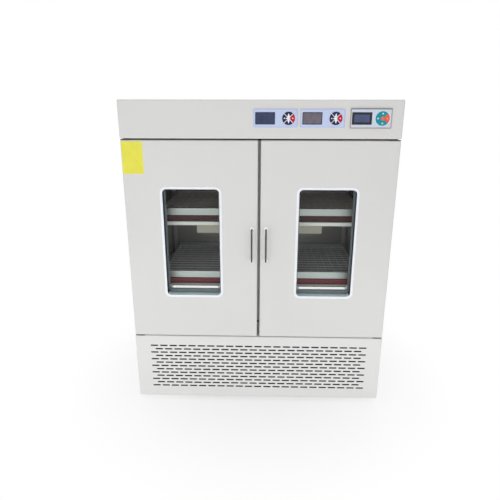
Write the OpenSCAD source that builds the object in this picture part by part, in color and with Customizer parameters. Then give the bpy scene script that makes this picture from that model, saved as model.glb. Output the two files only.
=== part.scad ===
// Two-door refrigerated shaking incubator: insulated cabinet, two glazed doors, control fascia,
// two orbital shaker tiers on triple-crank drives, air duct with blower, and a condensing unit below.
// Axes: +X to the right, -Y to the front, +Z up. The origin is on the ground, midway in X and Y.

/* [Cabinet] */
// Width of the cabinet
cabinet_w = 1200; // [1080:10:1400]
// Depth of the insulated cabinet behind the doors
cabinet_d = 700; // [690:10:860]
// Height of the cabinet above the ground
cabinet_h = 1450; // [1310:5:1600]
// Free height between the ground and the cabinet's bottom edge
foot_clear = 18; // [18:1:60]
// Height of the slotted panel below the doors
lower_h = 336; // [310:2:400]
// Height of the control fascia
fascia_h = 159; // [130:1:220]
// Thickness of the painted sheet
sheet_t = 1.5; // [1:0.1:2.5]
// Bend radius of the painted sheet's visible edges
edge_r = 6; // [3.5:0.5:7]

/* [Insulated chamber] */
// Thickness of each insulated side wall
side_wall = 82; // [70:1:90]
// Thickness of the insulated back wall
back_wall = 60; // [45:1:70]
// Height of the chamber floor above the doors' bottom edge
floor_up = 39; // [34:1:50]
// Drop of the chamber ceiling below the doors' top edge
ceiling_down = 34.5; // [32:0.5:50]
// Thickness of the foam under the chamber
foam_floor = 56; // [46:1:60]
// Thickness of the foam above the chamber
foam_top = 40; // [34:0.5:41]
// Thickness of the stainless liner
liner_t = 1.2; // [0.8:0.1:2]
// Thickness of the front frame's sheet
frame_t = 2; // [1.5:0.1:3]
// Width of the frame's centre post
post_w = 60; // [44:1:80]
// Depth of the frame's centre post
post_d = 20; // [12:1:22]

/* [Doors] */
// Thickness of each door
door_t = 50; // [46:1:60]
// Set-back of the doors' outer edges from the cabinet's sides
door_inset = 1; // [0.5:0.5:10]
// Gap between the two doors
centre_gap = 12; // [8:0.5:16]
// Gap below the doors
door_gap = 4; // [3.8:0.1:6]
// Gap between the doors and the control fascia
top_gap = 6.5; // [4:0.1:9]
// Gap between the closed doors and the front frame, filled by the door seal
seal_gap = 8; // [7:0.5:12]
// Width of the door seal
gasket_w = 16; // [10:1:17]
// Clear width of each window
window_w = 252; // [180:1:300]
// Clear height of each window
window_h = 502; // [400:1:600]
// Corner radius of the window opening
window_r = 18; // [14:1:40]
// Height of the window's centre above the door's bottom edge
window_up = 465.5; // [440:0.5:480]
// Width of the white trim around the window
trim_w = 11; // [8:1:24]
// How far the trim stands in front of the door
trim_proud = 3; // [1.5:0.1:5]
// Wall of the window frame's throat
throat_t = 2.5; // [1.5:0.1:4]
// Thickness of each pane
glass_t = 4; // [3:0.5:5]
// Depth of the front pane behind the door's face
pane_depth = 24; // [12:1:26]
// Space between the two panes
pane_space = 12; // [6:1:14]
// Width of the dark spacer at the sides and top of the glazing
spacer_side = 6; // [4:0.5:10]
// Height of the dark spacer along the sill
spacer_sill = 18; // [8:1:22]
// Height of the inner frame's raised sill
inner_sill = 27; // [12:1:40]
// Centre distance of the handle's two posts
handle_c = 150; // [96:1:224]
// Diameter of the handle rod
handle_d = 8; // [7:0.5:14]
// Reach of the handle in front of the door
handle_reach = 35; // [28:0.5:50]
// Distance of the handle from the door's inner edge
handle_in = 26; // [18:1:60]
// Height of the handle's middle above the door's bottom edge
handle_up = 464; // [300:1:600]

/* [Hinges] */
// Diameter of the hinge pins
pin_d = 8; // [6:0.5:10]
// Length of each pin inside the door
pin_len = 18; // [10:1:20]
// Thickness of the hinge plates
hinge_t = 3; // [2:0.1:3.2]
// Width of the hinge plates
hinge_w = 46; // [30:1:48]
// Distance of the pin from the door's outer edge
pin_in = 12; // [10:0.5:15]
// Distance of the pin behind the door's front
pin_back = 20; // [14:0.5:24]
// Height of the hinge's screwed flange
hinge_flange = 30; // [20:1:40]

/* [Control fascia] */
// Width of each speed controller
speed_w = 183; // [170:1:200]
// Height of each speed controller
speed_h = 73; // [64:1:90]
// Diameter of the speed controllers' key pads
speed_pad_d = 54; // [40:1:58]
// Width of the temperature controller
temp_w = 171; // [165:1:190]
// Height of the temperature controller
temp_h = 81; // [72:1:100]
// Diameter of the temperature controller's key pad
temp_pad_d = 58; // [44:1:60]
// Distance from the cabinet's right side to the temperature controller
temp_margin = 51; // [30:1:90]
// Gap between the temperature controller and its neighbour
temp_gap = 24; // [10:1:50]
// Gap between the two speed controllers
speed_gap = 14; // [8:1:40]
// Height of the controllers' middle above the fascia's bottom edge
panel_up = 84; // [70:0.5:100]
// Width of the displays
lcd_w = 83; // [60:1:84]
// Height of the displays
lcd_h = 50; // [30:1:54]
// Margin left of the speed controllers' displays
speed_lcd_in = 7; // [6:0.5:14]
// Margin left of the temperature controller's display
temp_lcd_in = 6; // [5:0.5:9]
// Margin right of the key pads
pad_in = 9.5; // [6:0.5:14]
// How far the controllers stand in front of the fascia
panel_proud = 5; // [4:0.5:8]
// Thickness of the controllers' front plates
panel_t = 3; // [2:0.1:3.5]
// Depth of the controllers' housings behind the fascia
panel_deep = 52; // [30:1:56]
// How far the keys stand in front of their controller
key_proud = 1.5; // [1.2:0.1:3]
// Travel of the keys
key_travel = 1; // [0.4:0.1:1.2]
// Width of the ribs between the keys
key_rib = 2.4; // [2:0.1:4]
// Radius of the hub in the middle of each key pad
key_hub_r = 5; // [3:0.5:8]

/* [Slotted panel] */
// Rows of slots
slot_rows = 13; // [5:2:13]
// Slots in the longer rows
slot_count = 23; // [8:1:23]
// Distance between the rows
slot_pitch_z = 18.7; // [12:0.1:19]
// Distance between the slots of a row
slot_pitch_x = 46.3; // [40:0.1:47]
// Length of a slot
slot_w = 36; // [20:1:36]
// Height of a slot
slot_h = 6; // [3:0.5:8]
// Height of the slots' middle above the panel's bottom edge
slots_up = 172; // [150:0.5:180]

/* [Shaker tiers] */
// Gap between the trays, in the middle of their travel, and the chamber's sides
tray_side = 38; // [30:1:60]
// Gap between the trays, in the middle of their travel, and the duct cover
tray_rear = 28; // [20:1:50]
// Height of the trays
tray_h = 32; // [28:1:60]
// Thickness of the tray's sheet
tray_t = 1.5; // [1:0.1:3]
// Distance of the trays behind the front frame's face
tray_back = 37; // [36:1:42]
// Height of the red carrier frame
carrier_h = 30; // [24:1:40]
// Width of the carrier's rails
carrier_rail = 40; // [24:1:50]
// Width of the carrier's bearing beams
beam_w = 60; // [48:1:80]
// Thickness of the carrier's folded channels
channel_t = 3; // [2:0.1:4]
// Radius of the carrier's bearing hubs
hub_r = 20; // [14:1:21]
// Height of the fixed base
base_h = 17; // [15:0.5:22]
// Thickness of the base plate
base_t = 3; // [2:0.1:4]
// Running gap between the base and the carrier
run_gap = 2; // [1.5:0.1:6]
// Height of the lower tier's base above the chamber floor
tier_up = 180; // [120:1:200]
// Height from one tier to the next
tier_pitch = 311; // [290:1:330]
// Width of the ledges that carry the bases
ledge_w = 25; // [16:1:40]
// Width of the drive housing
housing_w = 636; // [630:2:760]
// Depth of the drive housing
housing_d = 260; // [240:2:300]
// Height of the drive housing
housing_h = 81; // [80:1:110]
// Distance of the drive housing behind the tray's front
housing_back = 165; // [120:1:180]
// Diameter of the grid's springs
spring_d = 6; // [3:0.5:8]
// Springs from left to right in each grid
springs_long = 12; // [3:1:12]
// Springs from front to back in each grid
springs_cross = 24; // [5:1:24]
// Depth of the upper springs' axis below the tray's rim
spring_down = 9; // [8:0.5:12]

/* [Crank drive] */
// Radius of the trays' circular travel
orbit_r = 13; // [8:0.5:15]
// Diameter of the crank shafts
shaft_d = 20; // [14:1:26]
// Diameter of the crank pins
crank_pin_d = 16; // [10:1:20]
// Radius of the crank discs
disc_r = 32; // [30:1:36]
// Thickness of the crank discs
disc_t = 8; // [5:0.5:9]
// Radius of the main crank's counterweight
weight_r = 56; // [44:1:70]
// Distance of the idler cranks from the middle, left and right
idler_x = 270; // [240:1:275]
// Distance between the idler cranks and the main crank, front to back
idler_y = 100; // [90:1:105]
// Distance of the main crank in front of the housing's back
main_y = 110; // [95:1:120]
// Outer radius of the bearing bosses
boss_r = 24; // [20:1:28]
// Length of the bearing bosses below the base plate
boss_len = 22; // [14:1:22]
// Radius at which the belt runs on the motor pulley
motor_seat_r = 24; // [18:1:26]
// Speed ratio of the belt drive
belt_ratio = 3; // [2:0.1:3.1]
// Width of the belt
belt_w = 14; // [8:1:14]
// Thickness of the belt
belt_t = 3.5; // [2:0.1:4]
// Distance of the motor from the main crank
motor_x = 180; // [170:1:190]
// Radius of the shaker motors
motor_r = 45; // [30:1:50]
// Height of the shaker motors
motor_h = 29; // [20:0.5:29]
// Diameter of the motor shafts
motor_shaft_d = 12; // [8:1:16]

/* [Air system] */
// Depth of the air duct behind its cover
duct_d = 80; // [78:1:84]
// Height left free below and above the duct cover
duct_end = 30; // [15:1:50]
// Width of the slotted field in the duct cover
louvre_w = 730; // [500:10:800]
// Columns of slots in the duct cover
louvre_cols = 7; // [3:1:9]
// Distance between the rows of slots in the duct cover
louvre_pitch = 26; // [18:1:40]
// Height of each slot in the duct cover
louvre_h = 4; // [2:0.5:8]
// Radius of the blower wheel
blower_r = 105; // [80:1:115]
// Depth of the blower wheel
blower_w = 40; // [25:1:42]
// Blades of the blower wheel
blower_blades = 24; // [12:1:36]
// Distance of the blower's axis below the chamber ceiling
blower_down = 165; // [150:1:180]
// Diameter of the fan shafts
fan_shaft_d = 10; // [6:1:12]
// Radius of the condenser fan
fan_r = 100; // [70:1:105]
// Blades of the condenser fan
fan_blades = 5; // [3:1:8]

/* [Machine compartment] */
// Thickness of the floor plate
floor_t = 3; // [2:0.5:5]
// Leg width of the chassis angles
post_s = 40; // [30:1:50]
// Thickness of the chassis angles
angle_t = 3; // [2:0.5:6]
// Radius of the levelling feet
foot_r = 28; // [20:1:36]
// Height of the levelling feet's pads
foot_h = 12; // [8:0.5:14]
// Radius of the levelling feet's studs
stud_r = 6; // [5:0.5:8]
// Distance of the feet from the cabinet's sides, front and back
foot_in = 70; // [60:1:100]
// Radius of the compressor
comp_r = 85; // [60:1:95]
// Height of the compressor
comp_h = 190; // [140:1:210]
// Width of the condenser
cond_w = 330; // [260:5:380]
// Height of the condenser
cond_h = 230; // [224:1:240]

/* [Hidden] */

// Clearances
pin_clear = 0.05;  // radial play of a pin or shaft in its bore
open_clear = 0.1;  // radial play of the idler crank pins in the carrier
seat = 0.3;        // distance between a moving piece and what it runs on
fit = 0.2;         // play of a part set into another
over = 1;          // how far a cutting tool reaches past what it cuts

// Colours
paint = [0.85, 0.86, 0.85];
trim_white = [0.95, 0.96, 0.98];
steel = [0.72, 0.73, 0.74];
dark = [0.15, 0.16, 0.17];
red = [0.45, 0.13, 0.15];
pale = [0.68, 0.72, 0.69];

// Main planes, front to back and bottom to top
total_d = handle_reach + door_t + seal_gap + cabinet_d;
front_y = handle_reach - total_d / 2;
frame_y = front_y + door_t + seal_gap;
rear_y = frame_y + cabinet_d;
side_x = cabinet_w / 2;
inlet_recess = 3;
panel_y = rear_y - inlet_recess - sheet_t;
lower_top = foot_clear + lower_h;
door_z0 = lower_top + door_gap;
fascia_z0 = cabinet_h - fascia_h;
door_z1 = fascia_z0 - top_gap;
door_h = door_z1 - door_z0;

// Chamber
chamber_w = cabinet_w - 2 * side_wall;
chamber_x = chamber_w / 2;
chamber_z0 = door_z0 + floor_up;
chamber_z1 = door_z1 - ceiling_down;
chamber_y1 = rear_y - back_wall;
liner_y0 = frame_y + frame_t;
foam_z0 = chamber_z0 - foam_floor;
foam_z1 = chamber_z1 + foam_top;

// Doors
door_x0 = centre_gap / 2;
door_x1 = side_x - door_inset;
door_w = door_x1 - door_x0;
door_x = (door_x0 + door_x1) / 2;
window_z = door_z0 + window_up;
hinge_x = door_x1 - pin_in;
hinge_y = front_y + pin_back;
pivot_s = 2 * pin_in;
gasket_lap = 4;
handle_x = door_x0 + handle_in;
handle_z = door_z0 + handle_up;

// Controllers, from left to right: upper tier's speed, lower tier's speed, temperature
panel_ws = [speed_w, speed_w, temp_w];
panel_hs = [speed_h, speed_h, temp_h];
pad_ds = [speed_pad_d, speed_pad_d, temp_pad_d];
lcd_ins = [speed_lcd_in, speed_lcd_in, temp_lcd_in];
temp_x = side_x - temp_margin - temp_w / 2;
lower_speed_x = temp_x - temp_w / 2 - temp_gap - speed_w / 2;
panel_xs = [lower_speed_x - speed_w - speed_gap, lower_speed_x, temp_x];
panel_z = fascia_z0 + panel_up;
panel_r = 4;
housing_in = 2.5;
housing_wall = 1.5;
display_lip = 1;
key_lip = 0.8;

// Shaker tiers; the crank pins point to the right at rest, which sets the platform right by orbit_r
tray_w = chamber_w - 2 * tray_side;
tray_y0 = frame_y + tray_back;
tray_y1 = chamber_y1 - duct_d - tray_rear;
tray_d = tray_y1 - tray_y0;
tray_y = (tray_y0 + tray_y1) / 2;
housing_y0 = tray_y0 + housing_back;
housing_y1 = housing_y0 + housing_d;
crank_main = [0, housing_y1 - main_y];
crank_left = [-idler_x, crank_main[1] - idler_y];
crank_right = [idler_x, crank_main[1] - idler_y];
motor_at = [-motor_x, crank_main[1]];
base_side = 1;
collar_r = shaft_d / 2 + 4;
collar_t = 3;
pin_collar = 3;
weight_back = 6;
rim_t = 3;
disc_up = base_t + 2;                         // underside of the crank discs above the base's underside
carrier_up = base_h + run_gap;                // underside of the carrier
tray_up = carrier_up + carrier_h;             // underside of the tray
tray_top = tray_up + tray_h;
pin_sunk = 4;
pin_top = carrier_up + carrier_h - pin_sunk;
flange_t = 1.4;
belt_side = 2;                                // height of a pulley's groove below and above the belt
pulley_h = belt_w + 2 * belt_side;
pulley_up = -boss_len - seat - pulley_h;      // underside of the pulleys
belt_up = pulley_up + belt_side;
main_seat_r = motor_seat_r * belt_ratio;
flange_r = belt_t + 0.5;
belt_play = seat;

// Air system
cover_y = chamber_y1 - duct_d;
blower_z = chamber_z1 - blower_down;
fan_x = 230;
cond_back = 70;
cond_y = frame_y + cond_back;
cond_t = 45;
shroud_t = 40;
fan_gap = 8;
fan_y = cond_y + cond_t + fan_gap;
fan_z = foot_clear + floor_t + cond_h / 2;
machine_z = foot_clear + floor_t;
chassis_x = side_x - sheet_t;

function tier_z(tier) = chamber_z0 + tier_up + tier * tier_pitch;

// ---- Shapes that several parts share ----

// A block given by its lowest and highest corner
module between(low, high) translate(low) cube(high - low);

// An outline drawn in X and Z, standing up at y and reaching back by depth
module standing(y, depth) translate([0, y + depth, 0]) rotate([90, 0, 0]) linear_extrude(depth) children();

// A rod from front to back
module rod_y(x, y, z, r, len) translate([x, y, z]) rotate([-90, 0, 0]) cylinder(r = r, h = len);

// A rectangle with round corners, about its middle
module rounded(w, h, r) {
  square([w - 2 * r, h], center = true);
  square([w, h - 2 * r], center = true);
  for (x = [-1, 1], z = [-1, 1]) translate([x * (w / 2 - r), z * (h / 2 - r)]) circle(r);
}

// A slot with round ends
module slot(w, h) {
  square([w - h, h], center = true);
  for (x = [-1, 1]) translate([x * (w - h) / 2, 0]) circle(h / 2);
}

// A rectangle whose two corners on the left are round
module soft_edge(d, h, r) {
  translate([r, 0]) square([d - r, h]);
  translate([0, r]) square([d, h - 2 * r]);
  for (z = [r, h - r]) translate([r, z]) circle(r);
}

// A block with round front edges: centred in X, its front at y = 0 and its underside at z = 0
module soft_block(w, d, h, r) intersection() {
  translate([-w / 2, 0, 0]) rotate([90, 0, 90]) linear_extrude(w) soft_edge(d, h, r);
  translate([-w / 2, 0, 0]) mirror([1, -1, 0]) linear_extrude(h) soft_edge(d, w, r);
  translate([0, 0, h / 2]) standing(0, d) rounded(w, h, r);
}

// An open-backed sheet-metal pan, as soft_block
module pan(w, d, h, r) difference() {
  soft_block(w, d, h, r);
  translate([0, sheet_t, sheet_t]) soft_block(w - 2 * sheet_t, d, h - 2 * sheet_t, r - sheet_t);
}

// An upright outline with round top corners, its foot at z = 0
module arch(w, h, r) {
  translate([-w / 2, 0]) square([w, h - r]);
  translate([r - w / 2, h - r]) square([w - 2 * r, r]);
  for (x = [-1, 1]) translate([x * (w / 2 - r), h - r]) circle(r);
}

// The right-hand piece, or its mirror image on the left
module on_side(side) mirror([side < 0 ? 1 : 0, 0, 0]) children();

// ---- Cabinet ----

module outer_shell() color(paint) standing(frame_y, cabinet_d) translate([0, foot_clear]) difference() {
  arch(cabinet_w, cabinet_h - foot_clear, edge_r);
  translate([0, -over])
    arch(cabinet_w - 2 * sheet_t, cabinet_h - foot_clear - sheet_t + over, edge_r - sheet_t);
}

// Back panel with two fields of vent slots for the machine compartment and the inlet's cut-out
vent_cols = 4;
vent_rows = 8;
vent_w = 90;
vent_pitch_x = 110;
vent_pitch_z = 20;
inlet_in = 110;
inlet_up = 110;
inlet_x = inlet_in - side_x;
inlet_z = foot_clear + inlet_up;
inlet_w = 48;
inlet_h = 26;
inlet_r = 3;
module back_panel() color(paint) standing(panel_y, sheet_t) difference() {
  translate([0, foot_clear])
    arch(cabinet_w - 2 * sheet_t, cabinet_h - foot_clear - sheet_t, edge_r - sheet_t);
  for (col = [0:vent_cols - 1], row = [0:vent_rows - 1])
    translate([(col - (vent_cols - 1) / 2) * vent_pitch_x, inlet_z + row * vent_pitch_z])
      slot(vent_w, slot_h);
  translate([inlet_x, inlet_z]) rounded(inlet_w + 2 * fit, inlet_h + 2 * fit, inlet_r);
}

// Inlet socket with three blades, its flange on the back panel
inlet_flange_t = inlet_recess - 1;
inlet_rim = 6;
inlet_deep = 22;
inlet_floor = 6;
inlet_wall = 3;
blade_gap = 10;
blade = [2, 6];
module power_inlet() color(dark) translate([inlet_x, 0, inlet_z]) difference() {
  union() {
    standing(panel_y + sheet_t, inlet_flange_t)
      rounded(inlet_w + 2 * inlet_rim, inlet_h + 2 * inlet_rim, inlet_r + inlet_rim / 2);
    standing(panel_y - inlet_deep, inlet_deep + sheet_t) rounded(inlet_w, inlet_h, inlet_r - fit);
  }
  standing(panel_y + inlet_floor - inlet_deep, inlet_deep + sheet_t + inlet_recess) difference() {
    rounded(inlet_w - 2 * inlet_wall, inlet_h - 2 * inlet_wall, inlet_r);
    for (x = [-1, 0, 1]) translate([x * blade_gap, 0]) square(blade, center = true);
  }
}

// Welded chassis: floor plate, four corner posts and a frame of angles under the foam
module base_chassis() color(steel) difference() {
  union() {
    between([-chassis_x, frame_y, foot_clear], [chassis_x, panel_y, machine_z]);
    for (side = [-1, 1]) on_side(side) {
      for (y = [frame_y, panel_y - angle_t])
        between([chassis_x - post_s, y, foot_clear], [chassis_x, y + angle_t, foam_z0]);
      for (y = [frame_y, panel_y - post_s])
        between([chassis_x - angle_t, y, foot_clear], [chassis_x, y + post_s, foam_z0]);
      between([chassis_x - angle_t, frame_y, foam_z0 - post_s], [chassis_x, panel_y, foam_z0]);
      between([chassis_x - post_s, frame_y, foam_z0 - angle_t], [chassis_x, panel_y, foam_z0]);
    }
    for (y = [frame_y, panel_y - angle_t])
      between([-chassis_x, y, foam_z0 - post_s], [chassis_x, y + angle_t, foam_z0]);
    for (y = [frame_y, panel_y - post_s])
      between([-chassis_x, y, foam_z0 - angle_t], [chassis_x, y + post_s, foam_z0]);
  }
  for (at = feet_at()) translate([at[0], at[1], foot_clear - over])
    cylinder(r = stud_r + fit, h = floor_t + 2 * over);
}

function feet_at() =
  [for (x = [foot_in - side_x, side_x - foot_in], y = [frame_y + foot_in, rear_y - foot_in]) [x, y]];

// Levelling feet: rubber-shod pad, stud, and a nut on each side of the floor plate
foot_bevel = 1;
foot_cone = 5;
nut_r = 1.7 * stud_r;
nut_h = 5;
stud_up = 25;
module levelling_feet() color(dark) for (at = feet_at()) translate([at[0], at[1], 0]) {
  rotate_extrude() polygon([[0, 0], [foot_r - foot_bevel, 0], [foot_r, foot_bevel],
    [foot_r, foot_h - foot_cone], [foot_r / 2, foot_h], [0, foot_h]]);
  translate([0, 0, foot_h - over]) cylinder(r = stud_r, h = machine_z + stud_up - foot_h + over);
  for (z = [foot_clear - nut_h, machine_z]) translate([0, 0, z]) cylinder(r = nut_r, h = nut_h, $fn = 6);
}

// Foam between the shell and the liner
module insulation() color("khaki") difference() {
  between([-side_x + sheet_t, liner_y0, foam_z0], [side_x - sheet_t, panel_y, foam_z1]);
  between([-chamber_x - liner_t, liner_y0 - over, chamber_z0 - liner_t],
    [chamber_x + liner_t, chamber_y1 + liner_t, chamber_z1 + liner_t]);
}

// Stainless liner with an angle ledge on each side for every tier
ledge_t = 3;
module chamber_liner() color(steel) {
  difference() {
    between([-chamber_x - liner_t, liner_y0, chamber_z0 - liner_t],
      [chamber_x + liner_t, chamber_y1 + liner_t, chamber_z1 + liner_t]);
    between([-chamber_x, liner_y0 - over, chamber_z0], [chamber_x, chamber_y1, chamber_z1]);
  }
  for (tier = [0, 1], side = [-1, 1]) on_side(side) translate([0, 0, tier_z(tier)]) {
    between([chamber_x - ledge_w, tray_y0, -ledge_t], [chamber_x + liner_t / 2, tray_y1, 0]);
    between([chamber_x - ledge_t, tray_y0, -ledge_w], [chamber_x + liner_t / 2, tray_y1, -ledge_t / 2]);
  }
}

// Painted front frame round the chamber's mouth, with the post that both doors seal against
module front_frame() color(paint) {
  difference() {
    between([-side_x + sheet_t, frame_y, foam_z0], [side_x - sheet_t, liner_y0, fascia_z0]);
    between([-chamber_x, frame_y - over, chamber_z0], [chamber_x, liner_y0 + over, chamber_z1]);
  }
  between([-post_w / 2, frame_y, chamber_z0 - over], [post_w / 2, liner_y0, chamber_z1 + over]);
  between([-post_w / 2, liner_y0 - over, chamber_z0], [post_w / 2, frame_y + post_d, chamber_z1]);
}

module fascia() color(paint) difference() {
  translate([0, front_y, fascia_z0]) pan(cabinet_w, door_t + seal_gap, fascia_h, edge_r);
  for (i = [0:2]) translate([panel_xs[i], 0, panel_z]) standing(front_y - over, sheet_t + 2 * over)
    rounded(panel_ws[i] - 2 * housing_in + 2 * fit, panel_hs[i] - 2 * housing_in + 2 * fit, panel_r);
}

// Lower front panel with staggered rows of slots
module slotted_panel() color(paint) difference() {
  translate([0, front_y, foot_clear]) pan(cabinet_w, door_t + seal_gap, lower_h, edge_r);
  translate([0, 0, foot_clear + slots_up]) standing(front_y - over, sheet_t + 2 * over)
    for (row = [0:slot_rows - 1]) let (count = slot_count - row % 2)
      for (i = [0:count - 1])
        translate([(i - (count - 1) / 2) * slot_pitch_x, (row - (slot_rows - 1) / 2) * slot_pitch_z])
          slot(slot_w, slot_h);
}

// Hinge brackets: plate with pin in the gap at each outer corner, and a flange on the front frame
plate_back = 2;
plate_r = 6;
module hinge_bracket() {
  plate_d = frame_y - front_y - plate_back;
  translate([hinge_x, hinge_y, -over]) cylinder(d = pin_d, h = pin_len + over);
  translate([door_x1, front_y + plate_back, -hinge_t]) linear_extrude(hinge_t) {
    for (x = [plate_r - hinge_w, -plate_r]) translate([x, plate_r]) circle(plate_r);
    translate([plate_r - hinge_w, 0]) square([hinge_w - 2 * plate_r, plate_d]);
    translate([-hinge_w, plate_r]) square([hinge_w, plate_d - plate_r]);
  }
  between([door_x1 - hinge_w, frame_y - hinge_t, -hinge_t], [door_x1, frame_y, hinge_flange]);
}

module hinge_brackets() color(steel) for (side = [-1, 1]) on_side(side) {
  translate([0, 0, door_z0 - seat]) hinge_bracket();
  translate([0, 0, door_z1 + seat]) mirror([0, 0, 1]) hinge_bracket();
}

// ---- Air system ----

// Duct cover with slots for the air and the blower's intake holes, clamped by a strip at each side
louvre_bridge = 14;
louvre_slot = louvre_w / louvre_cols - louvre_bridge;
louvre_up = 50;
louvre_top = 30;
cover_side = 6;
cover_w = chamber_w - 2 * cover_side;
cover_z0 = chamber_z0 + duct_end;
cover_z1 = chamber_z1 - duct_end;
louvre_rows = floor((blower_z - blower_r - louvre_top - cover_z0 - louvre_up) / louvre_pitch);
intake_rings = 3;
intake_hole_r = 6;
intake_ring_holes = 8;
clamp_w = 25;
clamp_t = 2;
module duct_cover() color(steel) {
  standing(cover_y, liner_t) difference() {
    translate([-cover_w / 2, cover_z0]) square([cover_w, cover_z1 - cover_z0]);
    for (col = [0:louvre_cols - 1], row = [0:louvre_rows])
      translate([(col - (louvre_cols - 1) / 2) * louvre_w / louvre_cols,
        cover_z0 + louvre_up + row * louvre_pitch]) slot(louvre_slot, louvre_h);
    for (ring = [1:intake_rings]) let (count = intake_ring_holes * ring)
      for (i = [0:count - 1]) translate([0, blower_z]) rotate(i * 360 / count)
        translate([ring * blower_r / (intake_rings + 1), 0]) circle(intake_hole_r);
  }
  for (x = [-cover_w / 2, cover_w / 2 - liner_t])
    between([x, cover_y + liner_t / 2, cover_z0], [x + liner_t, chamber_y1, cover_z1]);
  for (side = [-1, 1]) on_side(side)
    between([cover_w / 2 - clamp_w, cover_y - clamp_t, cover_z0],
      [cover_w / 2, cover_y + liner_t / 2, cover_z1]);
}

// Evaporator block with fins, and the bent rod heater above it, both on brackets at the chamber's back
coil_w = 640;
coil_t = 40;
coil_h = 150;
coil_z = chamber_z0 + 60;
coil_y1 = chamber_y1 - 6;
coil_web = 14;
fin_pitch = 16;
fin_t = 2;
heater_r = 5;
heater_bend = 20;
heater_up = 60;
heater_leg = coil_w - 2 * heater_bend;
strap_t = 3;
strap_in = 30;
module air_coils() color(steel) {
  difference() {
    between([-coil_w / 2, coil_y1 - coil_t, coil_z], [coil_w / 2, coil_y1, coil_z + coil_h]);
    for (x = [fin_t - coil_w / 2:fin_pitch:coil_w / 2 - fin_pitch])
      for (y = [coil_y1 - coil_t - over, coil_y1 - coil_web])
        between([x, y, coil_z - over], [x + fin_pitch - fin_t, y + coil_web + over, coil_z + coil_h + over]);
  }
  for (x = [-coil_w / 2, coil_w / 2 - fin_t])
    between([x, coil_y1 - over, coil_z], [x + fin_t, chamber_y1, coil_z + coil_h]);
  translate([0, chamber_y1 - duct_d / 2, coil_z + coil_h + heater_up]) {
    for (z = [-heater_bend, heater_bend]) translate([-heater_leg / 2, 0, z]) rotate([0, 90, 0])
      cylinder(r = heater_r, h = heater_leg);
    translate([heater_leg / 2, 0, 0]) rotate([90, 0, 0]) rotate([0, 0, -90])
      rotate_extrude(angle = 180) translate([heater_bend, 0]) circle(heater_r);
    for (side = [-1, 1]) on_side(side)
      between([coil_w / 2 - strap_in - strap_t, -heater_r, -heater_bend - 2 * heater_r],
        [coil_w / 2 - strap_in, duct_d / 2, heater_bend + 2 * heater_r]);
  }
}

// Centrifugal blower wheel on its shaft: back plate, front ring, blades and hub
blower_front = 12;
blower_y = cover_y + blower_front;
blower_plate_t = 2;
blower_eye = 0.75;
blade_len = 0.2;
blade_t = 1.5;
blade_lean = 35;
blower_hub_h = 16;
fan_motor_h = 22;
can_step = 3;
module blower_wheel() color(steel) translate([0, blower_y, blower_z]) rotate([-90, 0, 0]) {
  translate([0, 0, blower_w - blower_plate_t]) cylinder(r = blower_r, h = blower_plate_t);
  difference() {
    cylinder(r = blower_r, h = blower_plate_t);
    translate([0, 0, -over]) cylinder(r = blower_eye * blower_r, h = blower_plate_t + 2 * over);
  }
  for (i = [0:blower_blades - 1]) rotate(i * 360 / blower_blades)
    translate([(1 - blade_len) * blower_r - blade_t, 0, blower_plate_t / 2]) rotate(blade_lean)
      translate([0, -blade_t / 2, 0]) cube([blade_len * blower_r, blade_t, blower_w - blower_plate_t]);
  translate([0, 0, blower_w - blower_hub_h]) cylinder(r = 2 * fan_shaft_d, h = blower_hub_h);
  translate([0, 0, blower_w - over])
    cylinder(d = fan_shaft_d, h = duct_d - blower_front - blower_w - can_step - seat + over);
}

// Motor with a stepped end and the bore that its shaft runs in
module motor_can(r, h, shaft) difference() {
  union() {
    cylinder(r = r, h = h - can_step);
    cylinder(r = r - can_step, h = h);
  }
  translate([0, 0, can_step]) cylinder(d = shaft + 2 * pin_clear, h = h);
}

// Blower motor on the chamber's back, and the condenser fan's motor on its bracket
blower_motor_r = 48;
fan_motor_r = 38;
fan_motor_len = 55;
fan_motor_gap = 14;
fan_motor_y = cond_y + cond_t + shroud_t + fan_motor_gap;
fan_bracket = [50, 4];
bracket_back = 15;
bracket_lap = 4;
module fan_motors() color(dark) {
  translate([0, chamber_y1, blower_z]) rotate([90, 0, 0]) motor_can(blower_motor_r, fan_motor_h, fan_shaft_d);
  translate([fan_x, fan_motor_y + fan_motor_len, fan_z]) rotate([90, 0, 0])
    motor_can(fan_motor_r, fan_motor_len, fan_shaft_d);
  translate([fan_x - fan_bracket[0] / 2, fan_motor_y + bracket_back, machine_z])
    cube([fan_bracket[0], fan_bracket[1], fan_z - fan_motor_r + bracket_lap - machine_z]);
}

// Axial fan behind the condenser: hub, pitched blades and shaft
fan_hub_r = fan_r / 4;
fan_hub_h = 24;
fan_blade_t = 2;
fan_blade_w = fan_r / 2.4;
fan_blade_pitch = 30;
fan_root = 4;
shaft_in_motor = 30;
module condenser_fan() color(dark) translate([fan_x, fan_y, fan_z]) rotate([-90, 0, 0]) {
  cylinder(r = fan_hub_r, h = fan_hub_h);
  for (i = [0:fan_blades - 1]) rotate(i * 360 / fan_blades) rotate([fan_blade_pitch, 0, 0])
    translate([fan_hub_r - fan_root, -fan_hub_r, fan_blade_t])
      cube([fan_r - fan_hub_r - fan_root / 2, fan_blade_w, fan_blade_t]);
  cylinder(d = fan_shaft_d, h = fan_motor_y - fan_y + shaft_in_motor);
}

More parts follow.
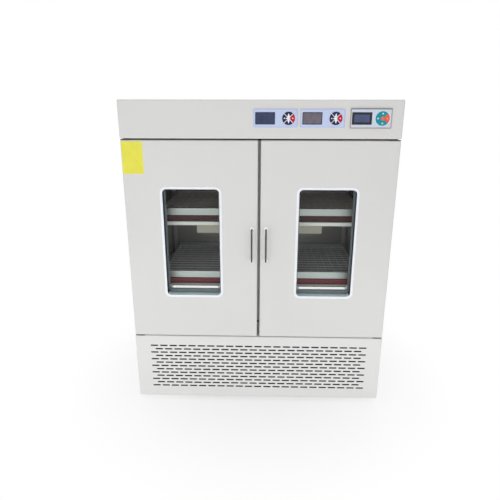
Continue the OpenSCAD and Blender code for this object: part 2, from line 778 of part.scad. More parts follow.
// Hermetic compressor on its plate, finned condenser with a fan shroud, and the pipes between them
comp_x = -250;
comp_gap = 20;
comp_y = cond_y + cond_t + shroud_t + comp_gap + comp_r;
comp_plate_w = 210;
comp_plate_d = 160;
comp_plate_t = 3;
comp_foot_r = 14;
comp_foot_h = 12;
comp_foot_in = 25;
comp_dome = 60;
comp_dome_r = 1.6 * comp_r;
comp_box_w = 26;
comp_box_d = 40;
comp_box_h = 60;
pipe_r = 5;
pipe_down = 70;
cond_fin_pitch = 10;
cond_fin_t = 2;
cond_frame = 8;
shroud_wall = 2;
fan_tip_gap = 4;
module condensing_unit() color(dark) {
  pipe_z = machine_z + comp_h - pipe_down;
  translate([comp_x, comp_y, machine_z]) {
    for (x = [-1, 1], y = [-1, 1])
      translate([x * (comp_plate_w / 2 - comp_foot_in), y * (comp_plate_d / 2 - comp_foot_in), 0])
        cylinder(r = comp_foot_r, h = comp_foot_h);
    translate([-comp_plate_w / 2, -comp_plate_d / 2, comp_foot_h])
      cube([comp_plate_w, comp_plate_d, comp_plate_t]);
    translate([0, 0, comp_foot_h + comp_plate_t - over]) rotate_extrude() {
      square([comp_r, comp_h - comp_dome]);
      intersection() {
        translate([0, comp_h - comp_dome - over]) square([comp_r, comp_dome + over]);
        translate([0, comp_h - comp_foot_r - comp_dome_r]) circle(comp_dome_r);
      }
    }
    translate([comp_r - over, -comp_box_d / 2, comp_box_d]) cube([comp_box_w + over, comp_box_d, comp_box_h]);
  }
  translate([fan_x - cond_w / 2, cond_y, machine_z]) {
    difference() {
      cube([cond_w, cond_t, cond_h]);
      for (x = [cond_frame:cond_fin_pitch:cond_w - cond_frame - cond_fin_pitch + cond_fin_t])
        translate([x, -over, cond_frame])
          cube([cond_fin_pitch - cond_fin_t, cond_t - cond_frame + over, cond_h - 2 * cond_frame]);
      rod_y(cond_w / 2, cond_t - cond_frame - over, fan_z - machine_z, fan_r + fan_tip_gap,
        cond_frame + 2 * over);
    }
    difference() {
      translate([0, cond_t - over / 2, 0]) cube([cond_w, shroud_t + over / 2, cond_h]);
      translate([shroud_wall, cond_t - over, shroud_wall])
        cube([cond_w - 2 * shroud_wall, shroud_t - shroud_wall + over, cond_h - 2 * shroud_wall]);
      rod_y(cond_w / 2, 0, fan_z - machine_z, fan_r + fan_tip_gap, cond_t + shroud_t + over);
    }
    rod_y(comp_gap, cond_t + shroud_t - over, pipe_z - machine_z, pipe_r,
      comp_y - cond_y - cond_t - shroud_t + over);
  }
  translate([comp_x + comp_r - 2 * pipe_r, comp_y, pipe_z]) rotate([0, 90, 0])
    cylinder(r = pipe_r, h = fan_x - cond_w / 2 + comp_gap - comp_x - comp_r + 2 * pipe_r);
}

// ---- Controllers ----

function lcd_x(i) = panel_xs[i] - panel_ws[i] / 2 + lcd_ins[i] + lcd_w / 2;
function pad_x(i) = panel_xs[i] + panel_ws[i] / 2 - pad_in - pad_ds[i] / 2;

// Quarter of a ring-shaped key pad, pointing to the right, drawn smaller by play all round
module key_outline(d, play) intersection() {
  difference() {
    circle(d / 2 - play);
    circle(key_hub_r + play);
  }
  translate([(key_rib / 2 + play) * sqrt(2), 0]) polygon([[0, 0], [d, d], [d, -d]]);
}

// Controller housings, each with the switch board behind its keys
key_back_t = 1.2;
key_y = front_y - panel_proud + panel_t + seat;
board_y = key_y + key_back_t + key_travel + fit;
board_t = 1.6;
board_margin = 3;
display_t = 6;
display_sunk = 0.4;
lcd_r = 2;
module controller_panels() color("lavender") for (i = [0:2]) translate([panel_xs[i], 0, panel_z]) {
  w = panel_ws[i];
  h = panel_hs[i];
  board_x = pad_x(i) - panel_xs[i] - pad_ds[i] / 2 - board_margin;
  translate([board_x, board_y, housing_in - h / 2])
    cube([w / 2 - housing_in - board_x, board_t, h - 2 * housing_in]);
  difference() {
    union() {
      standing(front_y - panel_proud, panel_proud) rounded(w, h, panel_r);
      standing(front_y - over, panel_deep + over)
        rounded(w - 2 * housing_in, h - 2 * housing_in, panel_r - 1);
    }
    standing(front_y - panel_proud + panel_t, panel_proud - panel_t + panel_deep - housing_wall)
      rounded(w - 2 * housing_in - 2 * housing_wall, h - 2 * housing_in - 2 * housing_wall, panel_r - 2);
    translate([lcd_x(i) - panel_xs[i], 0, 0]) standing(front_y - panel_proud - over, panel_t + 2 * over)
      rounded(lcd_w, lcd_h, lcd_r);
    translate([pad_x(i) - panel_xs[i], 0, 0]) standing(front_y - panel_proud - over, panel_t + 2 * over)
      for (turn = [0:90:270]) rotate(turn) key_outline(pad_ds[i], 0);
  }
}

// Displays: glass in the window of each controller, with its module behind
module controller_displays() color("midnightblue") for (i = [0:2]) translate([lcd_x(i), 0, panel_z]) {
  standing(front_y - panel_proud + display_sunk, panel_t)
    rounded(lcd_w - 2 * fit, lcd_h - 2 * fit, lcd_r - fit);
  standing(front_y - panel_proud + panel_t, display_t)
    rounded(lcd_w + 2 * display_lip, lcd_h + 2 * display_lip, lcd_r);
}

// One key: turn is its direction from the middle of its pad
module controller_key(i, turn) color("navy") translate([pad_x(i), 0, panel_z]) {
  standing(front_y - panel_proud - key_proud, panel_t + key_proud + seat + key_back_t)
    rotate(turn) key_outline(pad_ds[i], seat);
  standing(key_y, key_back_t) rotate(turn) key_outline(pad_ds[i], -key_lip);
}

// ---- Doors; each module draws the right-hand piece ----

module window_hole(y, depth, play)
  translate([door_x, 0, window_z]) standing(y, depth)
    rounded(window_w + 2 * (throat_t + play), window_h + 2 * (throat_t + play), window_r + throat_t + play);

// Solid corners of the door in which the hinge pins turn
pin_end = 2;
pivot_h = 28;
module pivot_blocks(play) for (z = [door_z0, door_z1 - pivot_h])
  between([door_x1 - pivot_s - play, front_y, z - play],
    [door_x1, front_y + pin_back + pin_in + play, z + pivot_h + play]);

module door_shell() color(paint) difference() {
  translate([door_x, front_y, door_z0]) soft_block(door_w, door_t, door_h, edge_r);
  difference() {
    translate([door_x, front_y + sheet_t, door_z0 + sheet_t])
      soft_block(door_w - 2 * sheet_t, door_t, door_h - 2 * sheet_t, edge_r - sheet_t);
    pivot_blocks(0);
  }
  window_hole(front_y - over, door_t, 0);
  for (z = [door_z0 - over, door_z1 - pin_len - pin_end])
    translate([hinge_x, hinge_y, z]) cylinder(d = pin_d + 2 * pin_clear, h = pin_len + pin_end + over);
}

module door_liner() color(paint) difference() {
  translate([door_x, front_y + sheet_t + fit, door_z0 + sheet_t + fit])
    soft_block(door_w - 2 * (sheet_t + fit), door_t - sheet_t - fit, door_h - 2 * (sheet_t + fit),
      edge_r - sheet_t);
  window_hole(front_y, door_t + over, fit);
  pivot_blocks(fit);
}

// Window frame: outer trim with the throat through the door, and the inner frame, whose raised sill
// slopes back at its front
throat_len = pane_depth + 2 * glass_t + pane_space;
inner_lip = 4;
inner_flange = 3;
slope_h = 8;
slope_d = 5;
module throat_outline()
  rounded(window_w + 2 * (throat_t - fit), window_h + 2 * (throat_t - fit), window_r + throat_t - fit);

module trim_outline() rounded(window_w + 2 * trim_w, window_h + 2 * trim_w, window_r + trim_w);

module window_frame() color(trim_white) translate([door_x, 0, window_z]) {
  difference() {
    union() {
      standing(front_y - trim_proud, trim_proud)
        trim_outline();
      standing(front_y - over, throat_len + over)
        throat_outline();
    }
    standing(front_y - trim_proud - over, throat_len + trim_proud + 2 * over)
      rounded(window_w, window_h, window_r);
  }
  difference() {
    union() {
      standing(front_y + throat_len, door_t - throat_len + over)
        throat_outline();
      standing(front_y + door_t, inner_flange)
        trim_outline();
    }
    translate([0, 0, (inner_sill - inner_lip) / 2])
      standing(front_y + throat_len - over, door_t - throat_len + inner_flange + 2 * over)
        rounded(window_w - 2 * inner_lip, window_h - inner_lip - inner_sill, window_r - inner_lip);
    translate([window_r - window_w / 2, front_y + throat_len, inner_sill - window_h / 2])
      rotate([90, 0, 90]) linear_extrude(window_w - 2 * window_r)
        polygon([[-over, -slope_h], [0, -slope_h], [slope_d, 0], [slope_d, over], [-over, over]]);
  }
}

module window_panes() color("lightblue") translate([door_x, 0, window_z])
  for (y = [pane_depth, pane_depth + glass_t + pane_space])
    standing(front_y + y, glass_t) rounded(window_w - 2 * fit, window_h - 2 * fit, window_r - fit);

// Magnetic seal on the door's back, and the dark spacer between the panes
gasket_r = 4;
module door_gasket() color(dark) {
  x0 = post_w / 2 - gasket_lap;
  x1 = chamber_x + gasket_lap;
  h = chamber_z1 - chamber_z0 + 2 * gasket_lap;
  translate([(x0 + x1) / 2, 0, (chamber_z0 + chamber_z1) / 2]) standing(front_y + door_t, seal_gap - seat)
    difference() {
      rounded(x1 - x0 + 2 * gasket_w, h + 2 * gasket_w, gasket_w + gasket_r);
      rounded(x1 - x0, h, gasket_r);
    }
  translate([door_x, 0, window_z]) standing(front_y + pane_depth + glass_t, pane_space) difference() {
    rounded(window_w - 2 * fit, window_h - 2 * fit, window_r - fit);
    translate([0, (spacer_sill - spacer_side) / 2])
      rounded(window_w - 2 * spacer_side, window_h - spacer_side - spacer_sill, window_r - spacer_side);
  }
}

// Bow handle bent from one rod, with a rose under each foot
bend_r = 12;
rose_rim = 4.5;
rose_t = 2.5;
module door_handle() color("silver") translate([handle_x, front_y, handle_z]) {
  reach = handle_reach - handle_d / 2;
  for (up = [-1, 1]) {
    translate([0, 0, up * handle_c / 2]) rotate([90, 0, 0]) {
      cylinder(d = handle_d, h = reach - bend_r);
      cylinder(d = handle_d + 2 * rose_rim, h = rose_t);
    }
    translate([0, bend_r - reach, up * (handle_c / 2 - bend_r)]) mirror([0, 0, up < 0 ? 1 : 0])
      rotate([90, 0, 90]) rotate([0, 0, 90]) rotate_extrude(angle = 90)
        translate([bend_r, 0]) circle(d = handle_d);
  }
  translate([0, -reach, bend_r - handle_c / 2]) cylinder(d = handle_d, h = handle_c - 2 * bend_r);
}

// ---- Shaker tiers; each module draws one tier, from the underside of its base ----

// Fixed base pan with bearing bosses, and the drive housing hung below it
module shaker_base() {
  difference() {
    union() {
      between([base_side - chamber_x, tray_y0, 0], [chamber_x - base_side, tray_y1, base_h]);
      between([-housing_w / 2, housing_y0, -housing_h], [housing_w / 2, housing_y1, over]);
    }
    between([base_side - chamber_x + rim_t, tray_y0 + rim_t, base_t],
      [chamber_x - base_side - rim_t, tray_y1 - rim_t, base_h + over]);
    between([sheet_t - housing_w / 2, housing_y0 + sheet_t, sheet_t - housing_h],
      [housing_w / 2 - sheet_t, housing_y1 - sheet_t, 0]);
    for (at = [crank_main, crank_left, crank_right]) translate([at[0], at[1], -over])
      cylinder(d = shaft_d + 2 * pin_clear, h = base_t + 2 * over);
  }
  for (at = [crank_main, crank_left, crank_right]) translate([at[0], at[1], -boss_len]) difference() {
    cylinder(r = boss_r, h = boss_len + base_t / 2);
    translate([0, 0, -over]) cylinder(d = shaft_d + 2 * pin_clear, h = boss_len + base_t + over);
  }
}

module shaker_bases() color(pale) for (tier = [0, 1]) translate([0, 0, tier_z(tier)]) shaker_base();

module shaker_motors() color(dark) for (tier = [0, 1])
  translate([motor_at[0], motor_at[1], tier_z(tier) + sheet_t - housing_h])
    motor_can(motor_r, motor_h, motor_shaft_d);

// Pulley for the flat belt with a flange on each side, and the motor's pulley on its shaft
module pulley(seat_r) {
  cylinder(r = seat_r, h = pulley_h);
  for (z = [0, pulley_h - flange_t]) translate([0, 0, z]) cylinder(r = seat_r + flange_r, h = flange_t);
}

module motor_pulley(tier) color(steel) translate([motor_at[0], motor_at[1], tier_z(tier) + pulley_up]) {
  pulley(motor_seat_r);
  shaft_len = pulley_up + housing_h - sheet_t - 2 * can_step;
  translate([0, 0, -shaft_len]) cylinder(d = motor_shaft_d, h = shaft_len + over);
}

// An outline round both pulleys at a distance from their seats; the main crank is its origin
belt_steps = 30;
function arc(x, r, from, sweep) = [for (i = [0:belt_steps]) let (a = from + i * sweep / belt_steps)
  [x + r * cos(a), r * sin(a)]];
function belt_points(grow) = let (lean = acos((main_seat_r - motor_seat_r) / motor_x))
  concat(arc(0, main_seat_r + grow, 180 + lean, 360 - 2 * lean),
    arc(-motor_x, motor_seat_r + grow, 180 - lean, 2 * lean));

module drive_belts() color(dark) for (tier = [0, 1])
  translate([crank_main[0], crank_main[1], tier_z(tier) + belt_up]) linear_extrude(belt_w) difference() {
    polygon(belt_points(belt_play + belt_t));
    polygon(belt_points(belt_play));
  }

// Crank: shaft in the base, disc with an eccentric pin that carries the platform
module crank(weight) {
  translate([0, 0, -boss_len - seat - collar_t]) {
    cylinder(d = shaft_d, h = boss_len + seat + collar_t + disc_up + over);
    cylinder(r = collar_r, h = collar_t);
  }
  translate([0, 0, base_t + seat]) cylinder(r = collar_r, h = disc_up - base_t - seat + over);
  translate([0, 0, disc_up]) linear_extrude(disc_t) {
    circle(disc_r);
    if (weight > 0) intersection() {
      circle(weight);
      translate([-2 * weight - weight_back, -weight]) square(2 * weight);
    }
  }
  translate([orbit_r, 0, disc_up + disc_t - over]) {
    cylinder(d = crank_pin_d, h = pin_top - disc_up - disc_t + over);
    cylinder(d = crank_pin_d + 2 * pin_collar, h = carrier_up - seat - disc_up - disc_t + over);
  }
}

module main_crank(tier) color(steel) translate([crank_main[0], crank_main[1], tier_z(tier)]) {
  crank(weight_r);
  translate([0, 0, pulley_up]) pulley(main_seat_r);
}

module idler_crank(tier, at) color(steel) translate([at[0], at[1], tier_z(tier)]) crank(0);

// Red carrier frame of folded channels, with a bearing beam and a hub over each crank
module carrier_plan(inset) {
  translate([0, tray_y]) difference() {
    square([tray_w - 2 * inset, tray_d - 2 * inset], center = true);
    square([tray_w - 2 * carrier_rail + 2 * inset, tray_d - 2 * carrier_rail + 2 * inset], center = true);
  }
  for (at = [crank_main, crank_left, crank_right])
    translate([at[0], tray_y])
      square([beam_w - 2 * inset, tray_d - 2 * carrier_rail + 4 * inset], center = true);
}

module carrier(tier) color(red) translate([orbit_r, 0, tier_z(tier) + carrier_up]) difference() {
  union() {
    difference() {
      linear_extrude(carrier_h) carrier_plan(0);
      translate([0, 0, -over]) linear_extrude(carrier_h - channel_t + over) carrier_plan(channel_t);
    }
    for (at = [crank_main, crank_left, crank_right]) translate([at[0], at[1], 0])
      cylinder(r = hub_r, h = carrier_h);
  }
  translate([crank_main[0], crank_main[1], -over])
    cylinder(d = crank_pin_d + 2 * pin_clear, h = carrier_h + 2 * over);
  for (at = [crank_left, crank_right])
    translate([at[0], at[1], -over]) cylinder(d = crank_pin_d + 2 * open_clear, h = carrier_h + 2 * over);
}

// Stainless tray with a folded rim
rim_fold = 8;
module tray(tier) color(steel) translate([orbit_r, 0, tier_z(tier) + tray_up]) difference() {
  between([-tray_w / 2, tray_y0, 0], [tray_w / 2, tray_y1, tray_h]);
  between([tray_t - tray_w / 2, tray_y0 + tray_t, tray_t],
    [tray_w / 2 - tray_t, tray_y1 - tray_t, tray_h - tray_t]);
  between([rim_fold - tray_w / 2, tray_y0 + rim_fold, tray_h / 2],
    [tray_w / 2 - rim_fold, tray_y1 - rim_fold, tray_h + over]);
}

// Grid of coil springs that grips the flasks: one layer each way
module spring_grid(tier) color(dark) translate([orbit_r, tray_y, tier_z(tier) + tray_top - spring_down]) {
  span_x = tray_w - 2 * tray_t;
  span_y = tray_d - 2 * tray_t;
  for (i = [1:springs_long]) translate([-span_x / 2, (i / (springs_long + 1) - 0.5) * span_y, 0])
    rotate([0, 90, 0]) cylinder(d = spring_d, h = span_x);
  for (i = [1:springs_cross])
    translate([(i / (springs_cross + 1) - 0.5) * span_x, span_y / 2, -spring_d - seat])
      rotate([90, 0, 0]) cylinder(d = spring_d, h = span_y);
}

// ---- Draw ----

outer_shell();
back_panel();
base_chassis();
insulation();
chamber_liner();
front_frame();
fascia();
slotted_panel();
levelling_feet();
hinge_brackets();
power_inlet();
duct_cover();
air_coils();
blower_wheel();
fan_motors();
condensing_unit();
condenser_fan();
controller_panels();
controller_displays();
controller_key(0, 90);  // upper_speed_key_up
controller_key(0, 180);  // upper_speed_key_left
controller_key(0, 270);  // upper_speed_key_down
controller_key(0, 0);  // upper_speed_key_right
controller_key(1, 90);  // lower_speed_key_up
controller_key(1, 180);  // lower_speed_key_left
controller_key(1, 270);  // lower_speed_key_down
controller_key(1, 0);  // lower_speed_key_right
controller_key(2, 90);  // temperature_key_up
controller_key(2, 180);  // temperature_key_left
controller_key(2, 270);  // temperature_key_down
controller_key(2, 0);  // temperature_key_right
on_side(-1) door_shell();  // left_door_shell
on_side(-1) door_liner();  // left_door_liner
on_side(-1) window_frame();  // left_window_frame
on_side(-1) window_panes();  // left_window_panes
on_side(-1) door_gasket();  // left_door_gasket
on_side(-1) door_handle();  // left_door_handle
on_side(1) door_shell();  // right_door_shell
on_side(1) door_liner();  // right_door_liner
on_side(1) window_frame();  // right_window_frame
on_side(1) window_panes();  // right_window_panes
on_side(1) door_gasket();  // right_door_gasket
on_side(1) door_handle();  // right_door_handle
shaker_bases();
shaker_motors();
drive_belts();
motor_pulley(1);  // upper_motor_pulley
main_crank(1);  // upper_main_crank
idler_crank(1, crank_left);  // upper_left_crank
idler_crank(1, crank_right);  // upper_right_crank
carrier(1);  // upper_carrier
tray(1);  // upper_tray
spring_grid(1);  // upper_spring_grid
motor_pulley(0);  // lower_motor_pulley
main_crank(0);  // lower_main_crank
idler_crank(0, crank_left);  // lower_left_crank
idler_crank(0, crank_right);  // lower_right_crank
carrier(0);  // lower_carrier
tray(0);  // lower_tray
spring_grid(0);  // lower_spring_grid
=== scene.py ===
import math

import bpy
import numpy as np
from mathutils import Matrix, Vector


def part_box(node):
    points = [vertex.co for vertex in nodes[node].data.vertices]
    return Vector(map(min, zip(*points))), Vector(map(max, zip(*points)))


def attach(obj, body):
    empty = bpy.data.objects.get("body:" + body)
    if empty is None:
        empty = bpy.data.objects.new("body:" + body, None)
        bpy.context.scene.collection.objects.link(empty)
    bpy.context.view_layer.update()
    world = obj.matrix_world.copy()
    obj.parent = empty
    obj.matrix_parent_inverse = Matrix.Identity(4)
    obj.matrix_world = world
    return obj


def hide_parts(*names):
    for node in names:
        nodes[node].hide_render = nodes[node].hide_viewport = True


# Lengths are in metres and angles in radians
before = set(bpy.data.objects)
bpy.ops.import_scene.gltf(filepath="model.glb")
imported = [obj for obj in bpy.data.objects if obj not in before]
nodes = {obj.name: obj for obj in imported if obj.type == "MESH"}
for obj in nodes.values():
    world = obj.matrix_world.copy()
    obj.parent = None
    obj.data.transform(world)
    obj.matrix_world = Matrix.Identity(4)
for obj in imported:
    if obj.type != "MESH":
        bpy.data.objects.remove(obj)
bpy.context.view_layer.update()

# ---- Camera: a 32 mm lens, held at the height of the fascia and tipped down ----

cam = bpy.data.objects.new("camera", bpy.data.cameras.new("camera"))
bpy.context.scene.collection.objects.link(cam)
cam.data.lens = 32.4
yaw, pitch, roll = -0.0252, 0.2991, -0.0017
ahead = Vector((math.sin(yaw) * math.cos(pitch), math.cos(yaw) * math.cos(pitch), -math.sin(pitch)))
right = Vector((math.cos(yaw), -math.sin(yaw), 0.0))
down = -right.cross(ahead)
right, down = math.cos(roll) * right + math.sin(roll) * down, math.cos(roll) * down - math.sin(roll) * right
turn = Matrix((right, -down, -ahead)).transposed()
camera_at = (0.0097, -2.3268, 1.4031)
cam.matrix_world = Matrix.Translation(camera_at) @ turn.to_4x4()
bpy.context.scene.camera = cam
bpy.context.scene.view_settings.view_transform = "Standard"

# ---- Node helpers ----


def linear(r, g, b):
    """The scene colour for 0-255 screen values."""
    return tuple(c / 12.92 if c <= 0.04045 else ((c + 0.055) / 1.055) ** 2.4
                 for c in (r / 255, g / 255, b / 255))


class Nodes:
    """Short ways to add nodes to a tree."""

    def __init__(self, tree):
        self.t = tree

    def node(self, kind, **values):
        n = self.t.nodes.new(kind)
        for k, v in values.items():
            setattr(n, k, v)
        return n

    def link(self, a, b):
        self.t.links.new(a, b)

    def spread(self, value, low, high, from_low=0.3, from_high=0.7):
        """value taken from one span to another."""
        n = self.node("ShaderNodeMapRange")
        for i, v in enumerate((from_low, from_high, low, high)):
            n.inputs[i + 1].default_value = v
        self.link(value, n.inputs[0])
        return n.outputs[0]

    def math(self, what, a, b=0.0):
        n = self.node("ShaderNodeMath", operation=what)
        for i, v in enumerate((a, b)):
            if isinstance(v, (int, float)):
                n.inputs[i].default_value = v
            else:
                self.link(v, n.inputs[i])
        return n.outputs[0]

    def length(self, a, b):
        """The length of the step whose two parts are a and b."""
        squares = [self.math("MULTIPLY", part, part) for part in (a, b)]
        return self.math("SQRT", self.math("ADD", *squares))

    def seen(self):
        """1 where the camera looks, also by way of a mirror or through glass, else 0."""
        rays = self.node("ShaderNodeLightPath").outputs
        bent = self.math("MAXIMUM", rays["Is Glossy Ray"], rays["Is Transmission Ray"])
        return self.math("MAXIMUM", rays["Is Camera Ray"], bent)


class Shader(Nodes):
    """A node material with one Principled shader."""

    def __init__(self, name, colour, rough=0.4, metal=0.0, ior=1.5):
        self.m = bpy.data.materials.new(name)
        self.m.use_nodes = True
        super().__init__(self.m.node_tree)
        self.bsdf = self.t.nodes["Principled BSDF"]
        self.out = self.t.nodes["Material Output"]
        self.set("Base Color", (*colour, 1.0))
        self.set("Roughness", rough)
        self.set("Metallic", metal)
        self.set("IOR", ior)
        self.colour = colour
        self.where = None
        self.top = None

    def set(self, socket, value):
        self.bsdf.inputs[socket].default_value = value

    def place(self, scale=(1, 1, 1), centre=(0, 0, 0)):
        """The object's own coordinates, in metres from centre, times scale."""
        if self.where is None:
            self.where = self.node("ShaderNodeTexCoord").outputs["Object"]
        m = self.node("ShaderNodeMapping")
        m.inputs["Scale"].default_value = scale
        m.inputs["Location"].default_value = [-c * s for c, s in zip(centre, scale)]
        self.link(self.where, m.inputs["Vector"])
        return m.outputs[0]

    def noise(self, scale, detail=3.0, rough=0.55, stretch=(1, 1, 1)):
        n = self.node("ShaderNodeTexNoise")
        n.inputs["Scale"].default_value = scale
        n.inputs["Detail"].default_value = detail
        n.inputs["Roughness"].default_value = rough
        self.link(self.place(stretch), n.inputs["Vector"])
        return n.outputs["Fac"]

    def axes(self, centre=(0, 0, 0)):
        n = self.node("ShaderNodeSeparateXYZ")
        self.link(self.place(centre=centre), n.inputs[0])
        return n.outputs

    def paint(self, share, colour):
        """Lays colour over what the surface has so far, by share."""
        n = self.node("ShaderNodeMix", data_type="RGBA")
        under, over, mixed = n.inputs[6], n.inputs[7], n.outputs[2]
        self.link(share, n.inputs[0])
        if self.top is None:
            under.default_value = (*self.colour, 1.0)
        else:
            self.link(self.top, under)
        over.default_value = (*colour, 1.0)
        self.top = mixed
        self.link(self.top, self.bsdf.inputs["Base Color"])

    def shade(self, value, amount):
        """Makes the colour up to amount darker where value is low."""
        self.paint(self.spread(value, amount, 0.0), (0.0, 0.0, 0.0))

    def rough(self, value, low, high):
        self.link(self.spread(value, low, high), self.bsdf.inputs["Roughness"])

    def bump(self, height, distance, strength=1.0, edge=0.0):
        """Raises the surface by height times distance, with its edges softened to a radius of edge."""
        n = self.node("ShaderNodeBump")
        n.inputs["Strength"].default_value = strength
        n.inputs["Distance"].default_value = distance
        self.link(height, n.inputs["Height"])
        if edge:
            b = self.node("ShaderNodeBevel", samples=4)
            b.inputs["Radius"].default_value = edge
            self.link(b.outputs[0], n.inputs["Normal"])
        self.link(n.outputs[0], self.bsdf.inputs["Normal"])

    def away(self, centre):
        """The distance from centre in X and Z."""
        x, _, z = self.axes(centre)
        return self.length(x, z)

    def inside(self, centre, half_x, half_z, soft=0.0003):
        """1 within a rectangle in X and Z, else 0."""
        x, _, z = self.axes(centre)
        gap = self.math("MAXIMUM", self.math("SUBTRACT", self.math("ABSOLUTE", x), half_x),
                        self.math("SUBTRACT", self.math("ABSOLUTE", z), half_z))
        return self.spread(gap, 1.0, 0.0, -soft, soft)


def powder(name, colour, edge=0.0006):
    """Powder-coated sheet, faintly clouded, with a fine orange-peel grain."""
    s = Shader(name, colour, 0.45, ior=1.45)
    s.set("Specular IOR Level", 0.28)
    s.shade(s.noise(1.7, 2), 0.02)
    s.rough(s.noise(9, 3), 0.42, 0.52)
    s.bump(s.noise(420, 2), 0.00006, 0.35, edge)
    return s


def plastic(name, colour, low=0.3, high=0.4, grain=900, edge=0.0004, shine=0.5):
    """Moulded plastic, its roughness between low and high."""
    s = Shader(name, colour, low)
    s.set("Specular IOR Level", shine)
    s.shade(s.noise(6, 2), 0.03)
    s.rough(s.noise(25, 3), low, high)
    s.bump(s.noise(grain, 2), 0.00003, 0.4, edge)
    return s


def rubber(name, colour=(0.018, 0.018, 0.02)):
    """Dull rubber with paler dust in patches."""
    s = Shader(name, colour, 0.75, ior=1.4)
    s.paint(s.spread(s.noise(60, 4), 0.0, 0.35), (0.05, 0.05, 0.05))
    s.rough(s.noise(30, 3), 0.65, 0.9)
    s.bump(s.noise(1500, 2), 0.00005, 0.5)
    return s


def brushed(name, colour, along, low=0.24, high=0.42, streak=0.14, metal=1.0):
    """A surface with fine lines along one axis, fully metal unless metal is below 1."""
    stretch = [0.012 if i == along else 1.0 for i in range(3)]
    s = Shader(name, colour, 0.3, metal)
    lines = s.noise(900, 3, 0.6, stretch)
    s.shade(lines, streak)
    s.rough(s.noise(400, 3, 0.6, stretch), low, high)
    s.bump(lines, 0.00002, 0.5)
    return s


def cast(name, colour, rough=0.5):
    """Painted or zinc-coated metal, clouded and slightly pitted."""
    s = Shader(name, colour, rough)
    s.shade(s.noise(40, 4), 0.15)
    s.rough(s.noise(30, 3), rough - 0.08, rough + 0.12)
    s.bump(s.noise(700, 3), 0.0001, 0.5, 0.0005)
    return s


# ---- Stage and lights ----

floor_reach = 30.0
floor_ends = [(sx * floor_reach, sy * floor_reach, 0) for sx, sy in ((-1, -1), (1, -1), (1, 1), (-1, 1))]
floor = bpy.data.objects.new("floor", bpy.data.meshes.new("floor"))
floor.data.from_pydata(floor_ends, [], [(0, 1, 2, 3)])
bpy.context.scene.collection.objects.link(floor)

# The floor is white to the camera away from the object, and keeps its shadow near it
paper = Shader("floor", (0.98, 0.98, 0.98), 0.9)
paper.set("Specular IOR Level", 0.1)
paper.rough(paper.noise(5), 0.85, 0.95)
near, far, near_share = 0.4, 1.05, 0.62
x, y, _ = paper.axes()
share = paper.math("MULTIPLY", paper.spread(paper.length(x, y), near_share, 1.0, near, far), paper.seen())
white = paper.node("ShaderNodeEmission")
mix = paper.node("ShaderNodeMixShader")
for i, made in enumerate((share, paper.bsdf.outputs[0], white.outputs[0])):
    paper.link(made, mix.inputs[i])
paper.link(mix.outputs[0], paper.out.inputs[0])
floor.data.materials.append(paper.m)

# The world is white to the camera and gives less than half of that as light
world = bpy.data.worlds.new("world")
bpy.context.scene.world = world
world.use_nodes = True
sky = Nodes(world.node_tree)
background = world.node_tree.nodes["Background"]
background.inputs["Color"].default_value = (1, 1, 1, 1)
as_light = 0.4
sky.link(sky.spread(sky.seen(), as_light, 1.0, 0.0, 1.0), background.inputs["Strength"])


def softbox(name, at, aim, size, power):
    """A rectangular lamp of so many watts at one point, turned to another."""
    lamp = bpy.data.objects.new(name, bpy.data.lights.new(name, "AREA"))
    lamp.data.shape = "RECTANGLE"
    lamp.data.size, lamp.data.size_y = size
    lamp.data.energy = power
    lamp.location = at
    lamp.rotation_euler = (Vector(aim) - Vector(at)).to_track_quat("-Z", "Y").to_euler()
    bpy.context.scene.collection.objects.link(lamp)


softbox("key", (-1.5, -3.7, 1.5), (0, 0, 0.75), (2.2, 1.6), 27)
softbox("fill", (0.9, -3.9, 1.45), (0.1, 0, 0.6), (2.2, 1.4), 22)
for name, side in (("low_left", -1), ("low_right", 1)):
    softbox(name, (side * 0.95, -1.45, 0.12), (side * 0.3, -0.36, 0.04), (0.5, 0.16), 1.5)
softbox("overhead", (0.0, 0.4, 4.2), (0, 0, 1.0), (2.6, 2.6), 40)
softbox("rear", (1.8, 3.4, 2.2), (0, 0, 0.8), (2.2, 2.2), 42)
softbox("rear_fill", (-3.0, 2.6, 1.6), (0, 0, 0.7), (2.0, 2.2), 28)

# ---- Materials ----

near_black = (0.012, 0.012, 0.012)
along_x, along_y, along_z = range(3)

# Powder-coated sheet
shell_grey = powder("shell_grey", linear(223, 223, 220))
fascia_grey = powder("fascia_grey", linear(224, 224, 222))
# Paler than the doors' paint to make up for less light low on the cabinet: painted light
lower_grey_light_and_shade = powder("lower_grey_light_and_shade", linear(230, 230, 228))
door_grey = powder("door_grey", linear(224, 224, 222))
# Near-black for the slots' cut walls: painted shade
slot_wall_shade = powder("slot_wall_shade", near_black)
base_pale = powder("base_pale", linear(236, 240, 232))
housing_beige = powder("housing_beige", linear(218, 215, 200))

# Plastic
liner_white = plastic("liner_white", linear(226, 227, 224), 0.4, 0.5, 500)
trim_white = plastic("trim_white", linear(246, 249, 254), 0.22, 0.3, 700)
sill_white = plastic("sill_white", linear(250, 251, 252), 0.25, 0.35, 700)
sill_polished = brushed("sill_polished", (0.99, 0.99, 0.99), along_x, 0.03, 0.06, 0.0)
# The window throat is one plastic, given dark walls as painted shade and a pale blue floor as a painted
# reflection of the light outside
throat_wall_shade = plastic("throat_wall_shade", linear(44, 48, 66), 0.3, 0.4, 700, shine=0.2)
throat_floor_sheen = plastic("throat_floor_sheen", linear(228, 246, 250), 0.3, 0.4, 700)
black_plastic = plastic("black_plastic", (0.012, 0.012, 0.013), 0.35, 0.5)
fan_plastic = plastic("fan_plastic", (0.02, 0.02, 0.022), 0.4, 0.55)

